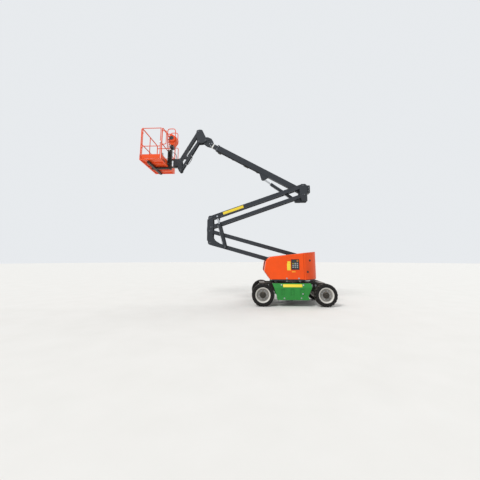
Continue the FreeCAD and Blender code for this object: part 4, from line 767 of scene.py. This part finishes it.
def along_beam(start, tilt, along, above, y):
    """A place on a sloping beam: along it from its pin, square to it, and out from the middle plane."""
    return Vector((start[0] + along * math.cos(tilt) - above * math.sin(tilt), y,
                   start[1] + along * math.sin(tilt) + above * math.cos(tilt)))


def seam_welds(name, start, tilt, run, above, faces, bead, body):
    """The fillet welds along a box beam's four long corners, laid in overlapping ripples."""
    first, length, steps = run
    beads = bmesh.new()
    way = Vector((math.cos(tilt), 0, math.sin(tilt)))
    ripples = [(bead * (0.75 + 0.25 * (i % 2)), length * i / steps) for i in range(steps + 1)]
    for side in (-1, 1):
        for y in faces:
            for height in (-above, above):
                turned(beads, along_beam(start, tilt, first, height, side * y), way, ripples, 6)
    piece(name, beads, boom_grey, body)


def nipples(name, start, tilt, above, body):
    """Grease nipples: a hexagon foot and a ball end, screwed into an arm over its pins."""
    ones = bmesh.new()
    axis = Vector((-math.sin(tilt), 0, math.cos(tilt))) * math.copysign(1, above)
    for along in (0.04, 3.53):
        for side in (-1, 1):
            place = along_beam(start, tilt, along, above, side * 0.125)
            turned(ones, place, axis, [(0.007, 0), (0.007, 0.005)], 6)
            turned(ones, place, axis, [(0.0045, 0.005), (0.0030, 0.011), (0.0042, 0.014), (0, 0.0165)], 12)
    piece(name, ones, zinc, body)


seam_welds("lower_arm_welds", LOWER_PIN, LOWER_TILT, WELD_RUN, 0.985 * ARM_HALF, WELD_FACES, 0.004, "lower_arm")
seam_welds("lower_link_welds", LOWER_LINK_PIN, LOWER_TILT, WELD_RUN, 0.985 * LINK_HALF, WELD_FACES, 0.004,
           "lower_link")
nipples("lower_arm_nipples", LOWER_PIN, LOWER_TILT, ARM_HALF, "lower_arm")


# Knuckle
# Two profile-cut side plates with a back web join the risers' ends, and carry four pins and the knuckle
# cylinders' feet. Steel plate, welded, sprayed dark grey, on phosphated pins held by bolted keepers.

dress(boom_grey, "mid_knuckle")
UPPER_PIN = (2.850, 2.952)
UPPER_LINK_PIN = (2.810, 2.617)
KNUCKLE_FOOT = (2.290, 1.900)
pin_caps("knuckle_pin_caps", ((2.840, 2.060), (2.855, 2.483), UPPER_PIN, UPPER_LINK_PIN), "knuckle",
         keeper=(-1.0, 0.3))
pin_caps("knuckle_foot_caps", (KNUCKLE_FOOT,), "knuckle", half_width=0.292, radius=0.028, keeper=(0.0, 0.01))


# Upper riser
# The same twin box beams, mirrored: arm above, link below, up to the upright. Sprayed dark grey.
# A blank yellow vinyl plate is stuck along the arm on each side.

dress(boom_grey, "upper_riser_arm", "upper_riser_link")
UPPER_TILT = math.radians(19.1)
UPPER_WAY = math.pi - UPPER_TILT
seam_welds("upper_arm_welds", UPPER_PIN, UPPER_WAY, WELD_RUN, 0.985 * ARM_HALF, WELD_FACES, 0.004, "upper_arm")
seam_welds("upper_link_welds", UPPER_LINK_PIN, UPPER_WAY, WELD_RUN, 0.985 * LINK_HALF, WELD_FACES, 0.004,
           "upper_link")
BEAM_OUTER_Y = 0.160
PLATE_LENGTH = 0.780
PLATE_WIDTH = 0.096
PLATE_ALONG = 0.889
plates = bmesh.new()
for side in (1, -1):
    centre = along_beam(UPPER_PIN, UPPER_WAY, PLATE_ALONG, 0.0, side * (BEAM_OUTER_Y + 0.0008))
    label(plates, centre, PLATE_LENGTH, PLATE_WIDTH, Matrix.Rotation(UPPER_TILT, 3, "Y"))
piece("riser_label_plates", plates, yellow_vinyl, "upper_arm")
nipples("upper_arm_nipples", UPPER_PIN, UPPER_WAY, -ARM_HALF, "upper_arm")


# Lift cylinders
# Honed steel barrels with welded feet and screwed glands, sprayed dark grey.
# The rods are ground and hard-chromed bar with forged eyes; a steel pipe runs along each barrel to its gland.

# Hard chrome on ground bar: mirror-like with a fine ring grain about 0.3 mm wide, drawn at 2 mm.
chrome = metal("hard_chromed_rod", "C9CCD0", roughness=0.14, grain_mm=2.0)
dress(boom_grey, "riser_cylinder_barrel", "knuckle_cylinder_barrel", "lift_cylinder_barrel", "jib_cylinder_barrel")
dress(chrome, "riser_cylinder_rod", "knuckle_cylinder_rod", "lift_cylinder_rod", "jib_cylinder_rod")


def barrel_pipe(name, foot, eye, radius, first, last, ys, body):
    """The steel pipe that feeds a cylinder's rod side, with its port blocks and clamps."""
    pipe = bmesh.new()
    way = Vector((eye[0] - foot[0], 0, eye[1] - foot[1])).normalized()
    out = Vector((way.z, 0, -way.x))
    turn = Matrix.Rotation(-math.atan2(way.z, way.x), 3, "Y")
    for y in ys:
        start = Vector((foot[0], y, foot[1]))
        turned(pipe, start + out * (radius + 0.013) + way * first, way, [(0.006, 0), (0.006, last - first)], 14)
        for at in (first, last):
            block(pipe, start + way * at + out * (radius + 0.008), (0.034, 0.026, 0.026), 0.003, turn)
        for share in (0.35, 0.7):
            at = first + share * (last - first)
            block(pipe, start + way * at + out * (radius + 0.009), (0.018, 0.022, 0.022), 0.003, turn)
    piece(name, pipe, zinc, body)


def rod_eye(name, foot, eye, rod_radius, eye_radius, half_width, ys, body, neck=0.045):
    """The eye forged on a rod's end, painted, with its neck and the lock nut behind it."""
    eyes = bmesh.new()
    way = Vector((foot[0] - eye[0], 0, foot[1] - eye[1])).normalized()
    outer = eye_radius + 0.0008
    inner = eye_radius - 0.012
    sleeve = rod_radius + 0.0008
    for y in ys:
        middle = Vector((eye[0], y, eye[1]))
        turned(eyes, middle, (0, 1, 0), [(outer, -half_width), (outer, half_width), (inner, half_width + 0.0006),
                                         (inner, -half_width - 0.0006)], 40, hollow=True)
        turned(eyes, middle + way * (eye_radius - 0.004), way,
               [(rod_radius + 0.007, 0), (rod_radius + 0.003, neck - 0.006), (sleeve, neck), (sleeve, 0)], 32,
               hollow=True)
    piece(name, eyes, boom_grey, body)


RISER_FOOT = (-0.150, 0.930)
RISER_EYE = (0.844, 1.495)
KNUCKLE_RAMS_Y = (0.240, -0.240)
barrel_pipe("riser_barrel_pipe", RISER_FOOT, RISER_EYE, 0.060, 0.15, 0.83, (0,), "riser_barrel")
barrel_pipe("knuckle_barrel_pipes", KNUCKLE_FOOT, (2.575, 2.999), 0.050, 0.13, 0.79, KNUCKLE_RAMS_Y,
            "knuckle_barrels")
barrel_pipe("lift_barrel_pipe", (-0.297, 3.590), (0.914, 4.443), 0.055, 0.14, 1.06, (0,), "lift_barrel")
barrel_pipe("jib_barrel_pipe", (3.363, 6.009), (3.812, 5.316), 0.036, 0.11, 0.68, (0,), "jib_barrel")
rod_eye("riser_rod_eye", RISER_FOOT, RISER_EYE, 0.032, 0.0464, 0.040, (0,), "riser_rod")
rod_eye("knuckle_rod_eyes", KNUCKLE_FOOT, (2.5751, 2.9986), 0.027, 0.0392, 0.038, KNUCKLE_RAMS_Y, "knuckle_rods")
rod_eye("lift_rod_eye", (-0.2973, 3.5901), (0.9138, 4.4427), 0.030, 0.0435, 0.040, (0,), "lift_rod")
rod_eye("jib_rod_eye", (3.3632, 6.0090), (3.8120, 5.3164), 0.018, 0.0261, 0.034, (0,), "jib_rod", neck=0.020)


# Upright
# The upper riser ends in this welded mast: outer plates for the risers, inner plates for the boom and its
# cylinder. A pressed steel cover behind it closes the valve block in.

dress(boom_grey, "upright", "upright_box")
pin_caps("upright_pin_caps", ((-0.527, 4.122), (-0.567, 3.787)), "upright", keeper=(1.0, 0.2))
cover_screws = bmesh.new()
box_low, box_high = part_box("upright_box")
for z in (box_low.z + 0.035, box_high.z - 0.035):
    for y in (-0.095, 0.095):
        bolt(cover_screws, (box_low.x, y, z), (-1, 0, 0), 0.016, 0.006)
for side in (-1, 1):
    for z in (box_low.z + 0.09, box_high.z - 0.09):
        bolt(cover_screws, (box_low.x + 0.06, side * 0.130, z), (0, side, 0), 0.014, 0.006)
piece("valve_cover_screws", cover_screws, zinc, "upright")


# Main boom and fly
# A long box tube with a collar of wear pads, and a smaller tube that slides out of it on them.
# Both are sprayed dark grey; a white reflective tape goes once round the fly.

dress(boom_grey, "main_boom", "fly_boom")
BOOM_PIN = (-0.4973, 3.9256)
BOOM_TILT = math.radians(29.2)
BOOM_LENGTH = 3.609
BOOM_SIDE = 0.075
BOOM_HALF = 0.105
FLY_SIDE = 0.055
FLY_HALF = 0.080
COLLAR = 0.070
PAD_ALONG = BOOM_LENGTH - COLLAR / 2
boom_turn = Matrix.Rotation(-BOOM_TILT, 3, "Y")
boom_up = Vector((-math.sin(BOOM_TILT), 0, math.cos(BOOM_TILT)))
boom_way = Vector((math.cos(BOOM_TILT), 0, math.sin(BOOM_TILT)))


def on_boom(along, above, y):
    """A place on the boom or the fly, from the boom's foot pin."""
    return along_beam(BOOM_PIN, BOOM_TILT, along, above, y)


seam_welds("boom_seams", BOOM_PIN, BOOM_TILT, (0.26, 3.27, 64), BOOM_HALF - 0.004, (BOOM_SIDE,), 0.0045, "boom")
pad_bolts = bmesh.new()
for side in (-1, 1):
    for above in (-0.055, 0.055):
        bolt(pad_bolts, on_boom(PAD_ALONG, above, side * (BOOM_SIDE + 0.008)), (0, side, 0), 0.022, 0.010)
    for above in (-1, 1):
        bolt(pad_bolts, on_boom(PAD_ALONG, above * (BOOM_HALF + 0.012), side * 0.035), boom_up * above,
             0.022, 0.010)
piece("wear_pad_bolts", pad_bolts, zinc, "boom")
# The platform's oil runs in two steel pipes under the boom, from a guide block at its nose back to the ram's lug.
BOOM_PIPE_RADIUS = 0.008
BOOM_PIPE_DROP = BOOM_HALF + 0.0095
PIPE_RUN = (1.66, 3.37)
# Each block's place along the boom, its length, width and depth.
PIPE_BLOCKS = ((3.427, 0.120, 0.094, 0.052), (3.425, 0.200, 0.100, 0.018), (2.850, 0.050, 0.080, 0.025),
               (2.270, 0.200, 0.090, 0.036), (1.795, 0.080, 0.080, 0.030))
boom_pipes = bmesh.new()
pipe_blocks = bmesh.new()
for y in (-0.022, 0.022):
    turned(boom_pipes, on_boom(PIPE_RUN[0], -BOOM_PIPE_DROP, y), boom_way,
           [(BOOM_PIPE_RADIUS, 0), (BOOM_PIPE_RADIUS, PIPE_RUN[1] - PIPE_RUN[0])], 16)
for along, length, width, depth in PIPE_BLOCKS:
    block(pipe_blocks, on_boom(along, -BOOM_HALF - depth / 2, 0), (length, width, depth), 0.005, boom_turn)
    for side in (-1, 1):
        bolt(pipe_blocks, on_boom(along, -BOOM_HALF - depth, side * (width / 2 - 0.014)), boom_up * -1,
             0.013, 0.006)
piece("boom_pipes", boom_pipes, cast_black, "boom")
piece("boom_pipe_blocks", pipe_blocks, chassis_black, "boom")

# White reflective tape: pale, slightly glossy, scuffed where the pads meet it.
white_tape = vinyl("white_reflective_tape", "EDEDE9", "BDBCB6")
BAND_ALONG = 3.778
BAND_WIDTH = 0.050
TAPE = 0.0016
band = bmesh.new()
for side in (-1, 1):
    block(band, on_boom(BAND_ALONG, 0, side * (FLY_SIDE + TAPE / 2)),
          (BAND_WIDTH, TAPE, 2 * FLY_HALF + 0.003), 0.0005, boom_turn)
    block(band, on_boom(BAND_ALONG, side * (FLY_HALF + TAPE / 2), 0),
          (BAND_WIDTH, 2 * FLY_SIDE + 0.001, TAPE), 0.0005, boom_turn)
piece("fly_tape", band, white_tape, "fly")
nose_bolts = bmesh.new()
for side in (-1, 1):
    for along, above in ((3.86, 0.055), (3.86, -0.055), (3.93, 0.0)):
        bolt(nose_bolts, on_boom(along, above, side * 0.070), (0, side, 0), 0.024, 0.011)
piece("nose_plate_bolts", nose_bolts, zinc, "fly")


# Jib
# A bracket kept level carries the jib's box beam above and two flat link bars below it.
# All are steel, sprayed dark grey, on greased pins.

dress(boom_grey, "jib_bracket", "jib_arm", "jib_link")
HEAD_PIN = (3.0972, 5.9780)
JIB_PIN_OUTER_Y = 0.113
JIB_CAP_RADIUS = 0.021
pin_caps("bracket_pin_caps", (HEAD_PIN, (3.383, 6.339), (3.353, 5.939)), "bracket", JIB_PIN_OUTER_Y,
         JIB_CAP_RADIUS, keeper=(-1.0, 0.2))
JIB_TOP = (3.3832, 6.3390)
JIB_TILT = math.radians(-60.0)
JIB_LINE_RADIUS = 0.0065
JIB_LINE_RUN = (0.17, 0.80)
jib_way = Vector((math.cos(JIB_TILT), 0, math.sin(JIB_TILT)))
jib_turn = Matrix.Rotation(-JIB_TILT, 3, "Y")


def on_jib(along, above, y):
    """A place on the jib's beam, from its upper pin."""
    return along_beam(JIB_TOP, JIB_TILT, along, above, y)


seam_welds("jib_seams", JIB_TOP, JIB_TILT, (0.09, 1.14, 24), 0.057, (0.0550,), 0.0035, "jib")
# Four steel lines in one row under the beam, held by clamp bars.
jib_lines = bmesh.new()
line_clamps = bmesh.new()
for y in (-0.030, -0.010, 0.010, 0.030):
    turned(jib_lines, on_jib(JIB_LINE_RUN[0], -0.0680, y), jib_way,
           [(JIB_LINE_RADIUS, 0), (JIB_LINE_RADIUS, JIB_LINE_RUN[1] - JIB_LINE_RUN[0])], 14)
    for end in JIB_LINE_RUN:
        block(line_clamps, on_jib(end, -0.0675, y), (0.020, 0.0165, 0.0165), 0.002, jib_turn)
for along in (0.28, 0.45, 0.62, 0.74):
    block(line_clamps, on_jib(along, -0.0682, 0), (0.026, 0.086, 0.0175), 0.003, jib_turn)
piece("jib_hydraulic_lines", jib_lines, cast_black, "jib")
piece("jib_line_clamps", line_clamps, cast_black, "jib")


# Platform mount
# The jib's end casting holds the rotator, a worm-geared hydraulic motor that turns the platform.
# Cast and welded steel, sprayed dark grey, with bolts round the rotator's housing.

dress(boom_grey, "platform_mount")
pin_caps("mount_pin_caps", ((4.045, 5.193), (4.015, 4.793)), "mount", JIB_PIN_OUTER_Y, JIB_CAP_RADIUS,
         keeper=(0.4, 1.0))
ROTATOR_X = 4.2497
ROTATOR_Z = (4.960, 5.235)
ribs = bmesh.new()
for z in (ROTATOR_Z[0] + 0.030, ROTATOR_Z[1] - 0.030):
    turned(ribs, (ROTATOR_X, 0, z), (0, 0, 1), [(0.0849, -0.010), (0.0895, -0.007), (0.0895, 0.007),
                                                (0.0849, 0.010)], 48, hollow=True)
for degrees in (-60, -30, 0, 30, 60):
    out = Vector((math.cos(math.radians(degrees)), math.sin(math.radians(degrees)), 0))
    bolt(ribs, Vector((ROTATOR_X, 0, 5.10)) + 0.084 * out, out, 0.018, 0.009)
piece("rotator_housing_rings", ribs, boom_grey, "mount")


# Platform support
# The rotator's two arms are welded to a box post, which carries beams under the platform's floor.
# Steel, enamelled black.

dress(chassis_black, "platform_support")
hub_bolts = bmesh.new()
for dx, dy in around(6, 0.062):
    for z, way in ((5.2606, 1), (4.9350, -1)):
        bolt(hub_bolts, (ROTATOR_X + dx, dy, z), (0, 0, way), 0.016, 0.008)
piece("rotator_arm_bolts", hub_bolts, zinc, "platform")
# The post is bolted through a plate to the platform's rear rails.
PLATE_X = (4.4900, 4.5080)
PLATE_Z = (5.000, 5.580)
mount_plate = bmesh.new()
block(mount_plate, (sum(PLATE_X) / 2, 0, sum(PLATE_Z) / 2),
      (PLATE_X[1] - PLATE_X[0], 0.400, PLATE_Z[1] - PLATE_Z[0]), 0.006)
for side in (1, -1):
    for z in (5.120, 5.460):
        block(mount_plate, (4.458, side * 0.068, z), (0.064, 0.012, 0.110), 0.003)
piece("platform_mounting_plate", mount_plate, chassis_black, "platform")
plate_bolts = bmesh.new()
for y in (-0.165, 0.165):
    for z in (5.045, 5.290, 5.535):
        bolt(plate_bolts, (PLATE_X[0], y, z), (-1, 0, 0), 0.024, 0.011)
piece("mounting_plate_bolts", plate_bolts, zinc, "platform")


# Platform floor
# A folded steel tray with stiffening bays below and a non-slip tread plate on top.
# Powder coated orange-red, worn where people stand.

# Orange-red powder coat: even, satin, a little faded by the sun.
platform_orange = painted("orange_red_powder_coat", "F2551F", roughness=0.38, coat=0.05, dust=0.12, peel=0.10,
                          wear="F08A66")
dress(platform_orange, "platform_floor")
# Galvanised tread plate: mottled zinc with raised lozenges 26 mm long.
tread_plate = metal("galvanised_tread_plate", "9A9C9C", roughness=0.42, grain_mm=8.0)
PLATFORM_X = (4.5147, 5.3087)
FLOOR_Z = 4.9963
PLATFORM_HALF = 0.831
PITCH = 0.060
LOZENGE = (0.013, 0.004, 0.0018)     # half its length, half its width, its height
plate_x = (PLATFORM_X[0] + 0.012, PLATFORM_X[1] - 0.012)
lozenges = bmesh.new()
block(lozenges, (sum(plate_x) / 2, 0, FLOOR_Z + 0.0015),
      (plate_x[1] - plate_x[0], 2 * PLATFORM_HALF - 0.05, 0.003), 0.001)
rows = int((plate_x[1] - plate_x[0] - 0.04) / PITCH)
columns = int((2 * PLATFORM_HALF - 0.10) / PITCH)
half_length, half_width, rise = LOZENGE
for i in range(rows + 1):
    for j in range(columns + 1):
        turn = Matrix.Rotation(math.radians(45 if (i + j) % 2 else -45), 3, "Z")
        place = Vector((plate_x[0] + 0.02 + i * PITCH, -PLATFORM_HALF + 0.05 + j * PITCH, FLOOR_Z + 0.0035))
        v = [lozenges.verts.new(turn @ Vector(corner) + place)
             for corner in ((-half_length, 0, 0), (0, -half_width, 0), (half_length, 0, 0), (0, half_width, 0),
                            (0, 0, rise))]
        for a, b in ((0, 1), (1, 2), (2, 3), (3, 0)):
            lozenges.faces.new((v[a], v[b], v[4]))
piece("platform_tread_plate", lozenges, tread_plate, "platform")


# Platform rails and gate
# Bent steel tube welded to posts and kick plates, with a side gate on two hinge rings.
# Powder coated orange-red. The gate has a sprung latch, and the rear posts carry rings for the harnesses.

dress(platform_orange, "platform_rails", "platform_gate")
RAIL_Y = 0.811
GATE_X = (4.5857, 5.2457)
LATCH_X = GATE_X[0] - 0.002
GATE_LATCH_Z = 5.62
latch = bmesh.new()
block(latch, (LATCH_X, RAIL_Y, GATE_LATCH_Z), (0.046, 0.030, 0.060), 0.004)
turned(latch, (LATCH_X, RAIL_Y - 0.014, GATE_LATCH_Z), (0, -1, 0),
       [(0.007, 0), (0.007, 0.03), (0.012, 0.034), (0.012, 0.042), (0, 0.044)], 16)
piece("gate_latch", latch, zinc, "gate")
ANCHOR_Z = 5.12
anchors = bmesh.new()
eye = around(10, 0.021)
for y in (-0.45, 0.45):
    block(anchors, (4.557, y, ANCHOR_Z), (0.006, 0.060, 0.060), 0.002)
    for (dy, dz), (next_dy, next_dz) in zip(eye, eye[1:] + eye[:1]):
        start = Vector((4.576, y + dy, ANCHOR_Z + dz))
        way = Vector((4.576, y + next_dy, ANCHOR_Z + next_dz)) - start
        turned(anchors, start, way, [(0.005, 0), (0.005, way.length * 1.15)], 8)
    block(anchors, (4.566, y, 5.097), (0.020, 0.012, 0.012), 0.002)
piece("harness_anchors", anchors, zinc, "platform")


# Control console
# A welded steel box hung outside the rear rail, with the controls on the side that faces the platform.
# The case and the bent bars that guard its ends are orange-red; its sloping face is moulded black.

dress(platform_orange, "control_console")
CONSOLE_FACE = ((4.4207, 6.1103), (4.4007, 5.7603))     # the front face's top and bottom, x and z
CONSOLE_MIDDLE_Y = 0.180
face_top, face_foot = CONSOLE_FACE
face_way = Vector((face_top[0] - face_foot[0], 0, face_top[1] - face_foot[1])).normalized()
face_out = Vector((face_way.z, 0, -face_way.x))
face_turn = Matrix((face_out, (0, 1, 0), face_way)).transposed()


def on_face(y, up_share, stand):
    """A place on the console's sloping face, standing off it."""
    low = Vector((CONSOLE_FACE[1][0], y, CONSOLE_FACE[1][1]))
    high = Vector((CONSOLE_FACE[0][0], y, CONSOLE_FACE[0][1]))
    return low.lerp(high, up_share) + face_out * stand


face = bmesh.new()
block(face, on_face(CONSOLE_MIDDLE_Y, 0.5, 0.003), (0.006, 0.250, 0.270), 0.0025, face_turn)
piece("console_face", face, black_abs, "platform")
STICK_SHARE = 0.62               # how far up the face the joysticks and the toggles stand
TOGGLE_SHARE = 0.30
sticks = bmesh.new()
for y in (0.105, 0.255):
    turned(sticks, on_face(y, STICK_SHARE, 0.005), face_out,
           [(0.030, 0), (0.030, 0.004), (0.024, 0.010), (0.026, 0.014), (0.018, 0.022), (0.020, 0.026),
            (0.010, 0.034), (0.0085, 0.050), (0.014, 0.056), (0.017, 0.080), (0.012, 0.090), (0, 0.092)], 24)
piece("console_joysticks", sticks, rubber_black, "platform")
plate_set = bmesh.new()
bats = bmesh.new()
for y in (0.085, 0.135, 0.185, 0.235):
    block(plate_set, on_face(y, TOGGLE_SHARE, 0.007), (0.003, 0.034, 0.040), 0.001, face_turn)
    toggle(bats, on_face(y, TOGGLE_SHARE, 0.0085), face_out, face_way * 0.4)
piece("console_switch_plates", plate_set, grey_abs, "platform")
piece("console_switches", bats, zinc, "platform")
stop = bmesh.new()
turned(stop, on_face(0.275, TOGGLE_SHARE, 0.006), face_out,
       [(0.012, 0), (0.012, 0.006), (0.019, 0.008), (0.020, 0.012), (0.013, 0.016), (0, 0.017)], 28)
piece("console_stop_button", stop, red_button, "platform")

BEND_STEPS = 6
BAR_SIDES = 12


def bent_loop(name, points, radius, bend, material, body):
    """A steel bar bent round formers and welded into a loop: straight runs joined by arcs of one radius."""
    spots = [Vector(p) for p in points]
    path = []
    for before, corner, after in zip(spots[-1:] + spots, spots, spots[1:] + spots[:1]):
        back = (before - corner).normalized()
        on = (after - corner).normalized()
        half = back.angle(on) / 2
        centre = corner + (back + on).normalized() * bend / math.sin(half)
        swing = corner + back * bend / math.tan(half) - centre
        for k in range(BEND_STEPS + 1):
            angle = (math.pi - 2 * half) * k / BEND_STEPS
            path.append(centre + Matrix.Rotation(angle, 3, on.cross(back)) @ swing)
    bar = bmesh.new()
    rings = []
    side = None
    for before, place, after in zip(path[-1:] + path, path, path[1:] + path[:1]):
        way = (after - before).normalized()
        side = way.orthogonal() if side is None else side - way * side.dot(way)
        side.normalize()
        other = way.cross(side)
        rings.append([bar.verts.new(place + side * across + other * up)
                      for across, up in around(BAR_SIDES, radius)])
    for low, high in zip(rings, rings[1:] + rings[:1]):
        for k in range(BAR_SIDES):
            j = (k + 1) % BAR_SIDES
            bar.faces.new((low[k], low[j], high[j], high[k]))
    piece(name, bar, material, body, smooth_angle=50)


CONSOLE_X = 4.345
CONSOLE_HALF = 0.150
PORT_Z = 6.000
GUARD_STAND = 0.022
GUARD_X = (4.195, 4.490)
GUARD_Z = (5.850, 6.345)
guard_arms = bmesh.new()
for name, way in (("left", 1), ("right", -1)):
    y = CONSOLE_MIDDLE_Y + way * (CONSOLE_HALF + GUARD_STAND)
    bent_loop(f"console_guard_{name}",
              [(GUARD_X[1], y, GUARD_Z[1]), (GUARD_X[0], y, GUARD_Z[1]),
               (GUARD_X[0], y, GUARD_Z[0]), (GUARD_X[1], y, GUARD_Z[0])],
              0.015, 0.090, platform_orange, "platform")
    turned(guard_arms, (GUARD_X[1], y, 6.177), (1, 0, 0), [(0.012, 0), (0.012, 0.040)], 20)
    for z in (5.950, 6.060):
        turned(guard_arms, (GUARD_X[0] + 0.020, y - way * 0.024, z), (0, way, 0), [(0.009, 0), (0.009, 0.012)], 14)
piece("console_guard_arms", guard_arms, platform_orange, "platform")
# A louvred port on each end, and the terminal box under the case with its three cable glands.
port = bmesh.new()
for way in (1, -1):
    y = CONSOLE_MIDDLE_Y + way * CONSOLE_HALF
    turned(port, (CONSOLE_X, y, PORT_Z), (0, way, 0),
           [(0.080, 0.0), (0.080, 0.004), (0.072, 0.006), (0.062, 0.004), (0.060, 0.0015), (0, 0.0015)], 40)
    for i, (dx, dz) in enumerate(around(6, 0.024)):
        block(port, (CONSOLE_X + dx, y + way * 0.003, PORT_Z + dz), (0.030, 0.005, 0.004), 0.001,
              Matrix.Rotation(math.radians(-60 * i), 3, "Y"))
block(port, (CONSOLE_X, CONSOLE_MIDDLE_Y, 5.672), (0.130, 0.240, 0.100), 0.010)
for y in (0.100, 0.180, 0.260):
    turned(port, (CONSOLE_X, y, 5.623), (0, 0, -1),
           [(0.014, 0), (0.014, 0.010), (0.010, 0.012), (0.010, 0.024), (0, 0.025)], 14)
piece("console_ports_and_terminal_box", port, black_abs, "platform")
OUTLET = (4.546, 0.660, 5.205)
outlet = bmesh.new()
block(outlet, OUTLET, (0.050, 0.090, 0.110), 0.007)
turned(outlet, (OUTLET[0], 0.704, OUTLET[2]), (0, 1, 0),
       [(0.022, 0), (0.022, 0.010), (0.018, 0.012), (0, 0.013)], 24)
piece("platform_outlet_box", outlet, grey_abs, "platform")
PEDAL_Y = 0.55
tray = bmesh.new()
block(tray, (4.62, PEDAL_Y, FLOOR_Z + 0.045), (0.150, 0.240, 0.012), 0.003)
block(tray, (4.60, PEDAL_Y, FLOOR_Z + 0.022), (0.180, 0.260, 0.036), 0.008)
piece("foot_switch", tray, rubber_black, "platform")


# Hoses
# Rubber hoses with wire braid inside, pushed on barbed tails and crimped.
# One loops from the platform's post to the rotator, and one hangs under the jib's link.

# Hose rubber: black, matt, with the wrapped cloth's fine weave about 1 mm apart, drawn at 3 mm.
hose_rubber = moulded("wrapped_hose_rubber", "111112", "262524", 30.0, 5.0, roughness=0.55, ior=1.52,
                      relief=("TexWave", {"Scale": 160.0, "Distortion": 1.0}, "Fac", 0.3, 0.0006),
                      bands_direction="DIAGONAL")


def hose(name, node, points, radius, body):
    """A hose along its route, and the crimped ends that hold it."""
    line = bpy.data.curves.new(name, "CURVE")
    line.dimensions = "3D"
    line.bevel_depth = radius
    line.bevel_resolution = 5
    line.resolution_u = 24
    line.use_fill_caps = True
    route = line.splines.new("NURBS")
    route.points.add(len(points) - 1)
    for point, place in zip(route.points, points):
        point.co = (*place, 1.0)
    route.order_u = 3
    route.use_endpoint_u = True
    line.materials.append(hose_rubber)
    made = bpy.data.objects.new(name, line)
    bpy.context.scene.collection.objects.link(made)
    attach(made, body)
    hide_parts(node)
    ends = bmesh.new()
    for place, following in ((points[0], points[1]), (points[-1], points[-2])):
        way = (Vector(following) - Vector(place)).normalized()
        turned(ends, place, way, [(radius + 0.002, 0), (radius + 0.0035, 0.004), (radius + 0.0035, 0.012)], 6)
        turned(ends, Vector(place) + way * 0.012, way,
               [(radius + 0.002, 0), (radius + 0.002, 0.030), (radius + 0.0005, 0.032)], 20)
    tails = piece(f"{name}_ends", ends, zinc, body)


HOSE_RADIUS = 0.011
hose("platform_hose_run", "platform_hose",
     [(4.3997, 0.020, 5.5363), (4.1997, 0.020, 5.5363), (4.1997, 0.020, 5.2606)], HOSE_RADIUS, "platform")
hose("jib_hose_run", "jib_hose",
     [(3.6316, 0.074, 5.3723), (3.5470, 0.074, 5.3234), (3.7495, 0.074, 4.9727), (3.8341, 0.074, 5.0215)],
     HOSE_RADIUS, "jib_link")
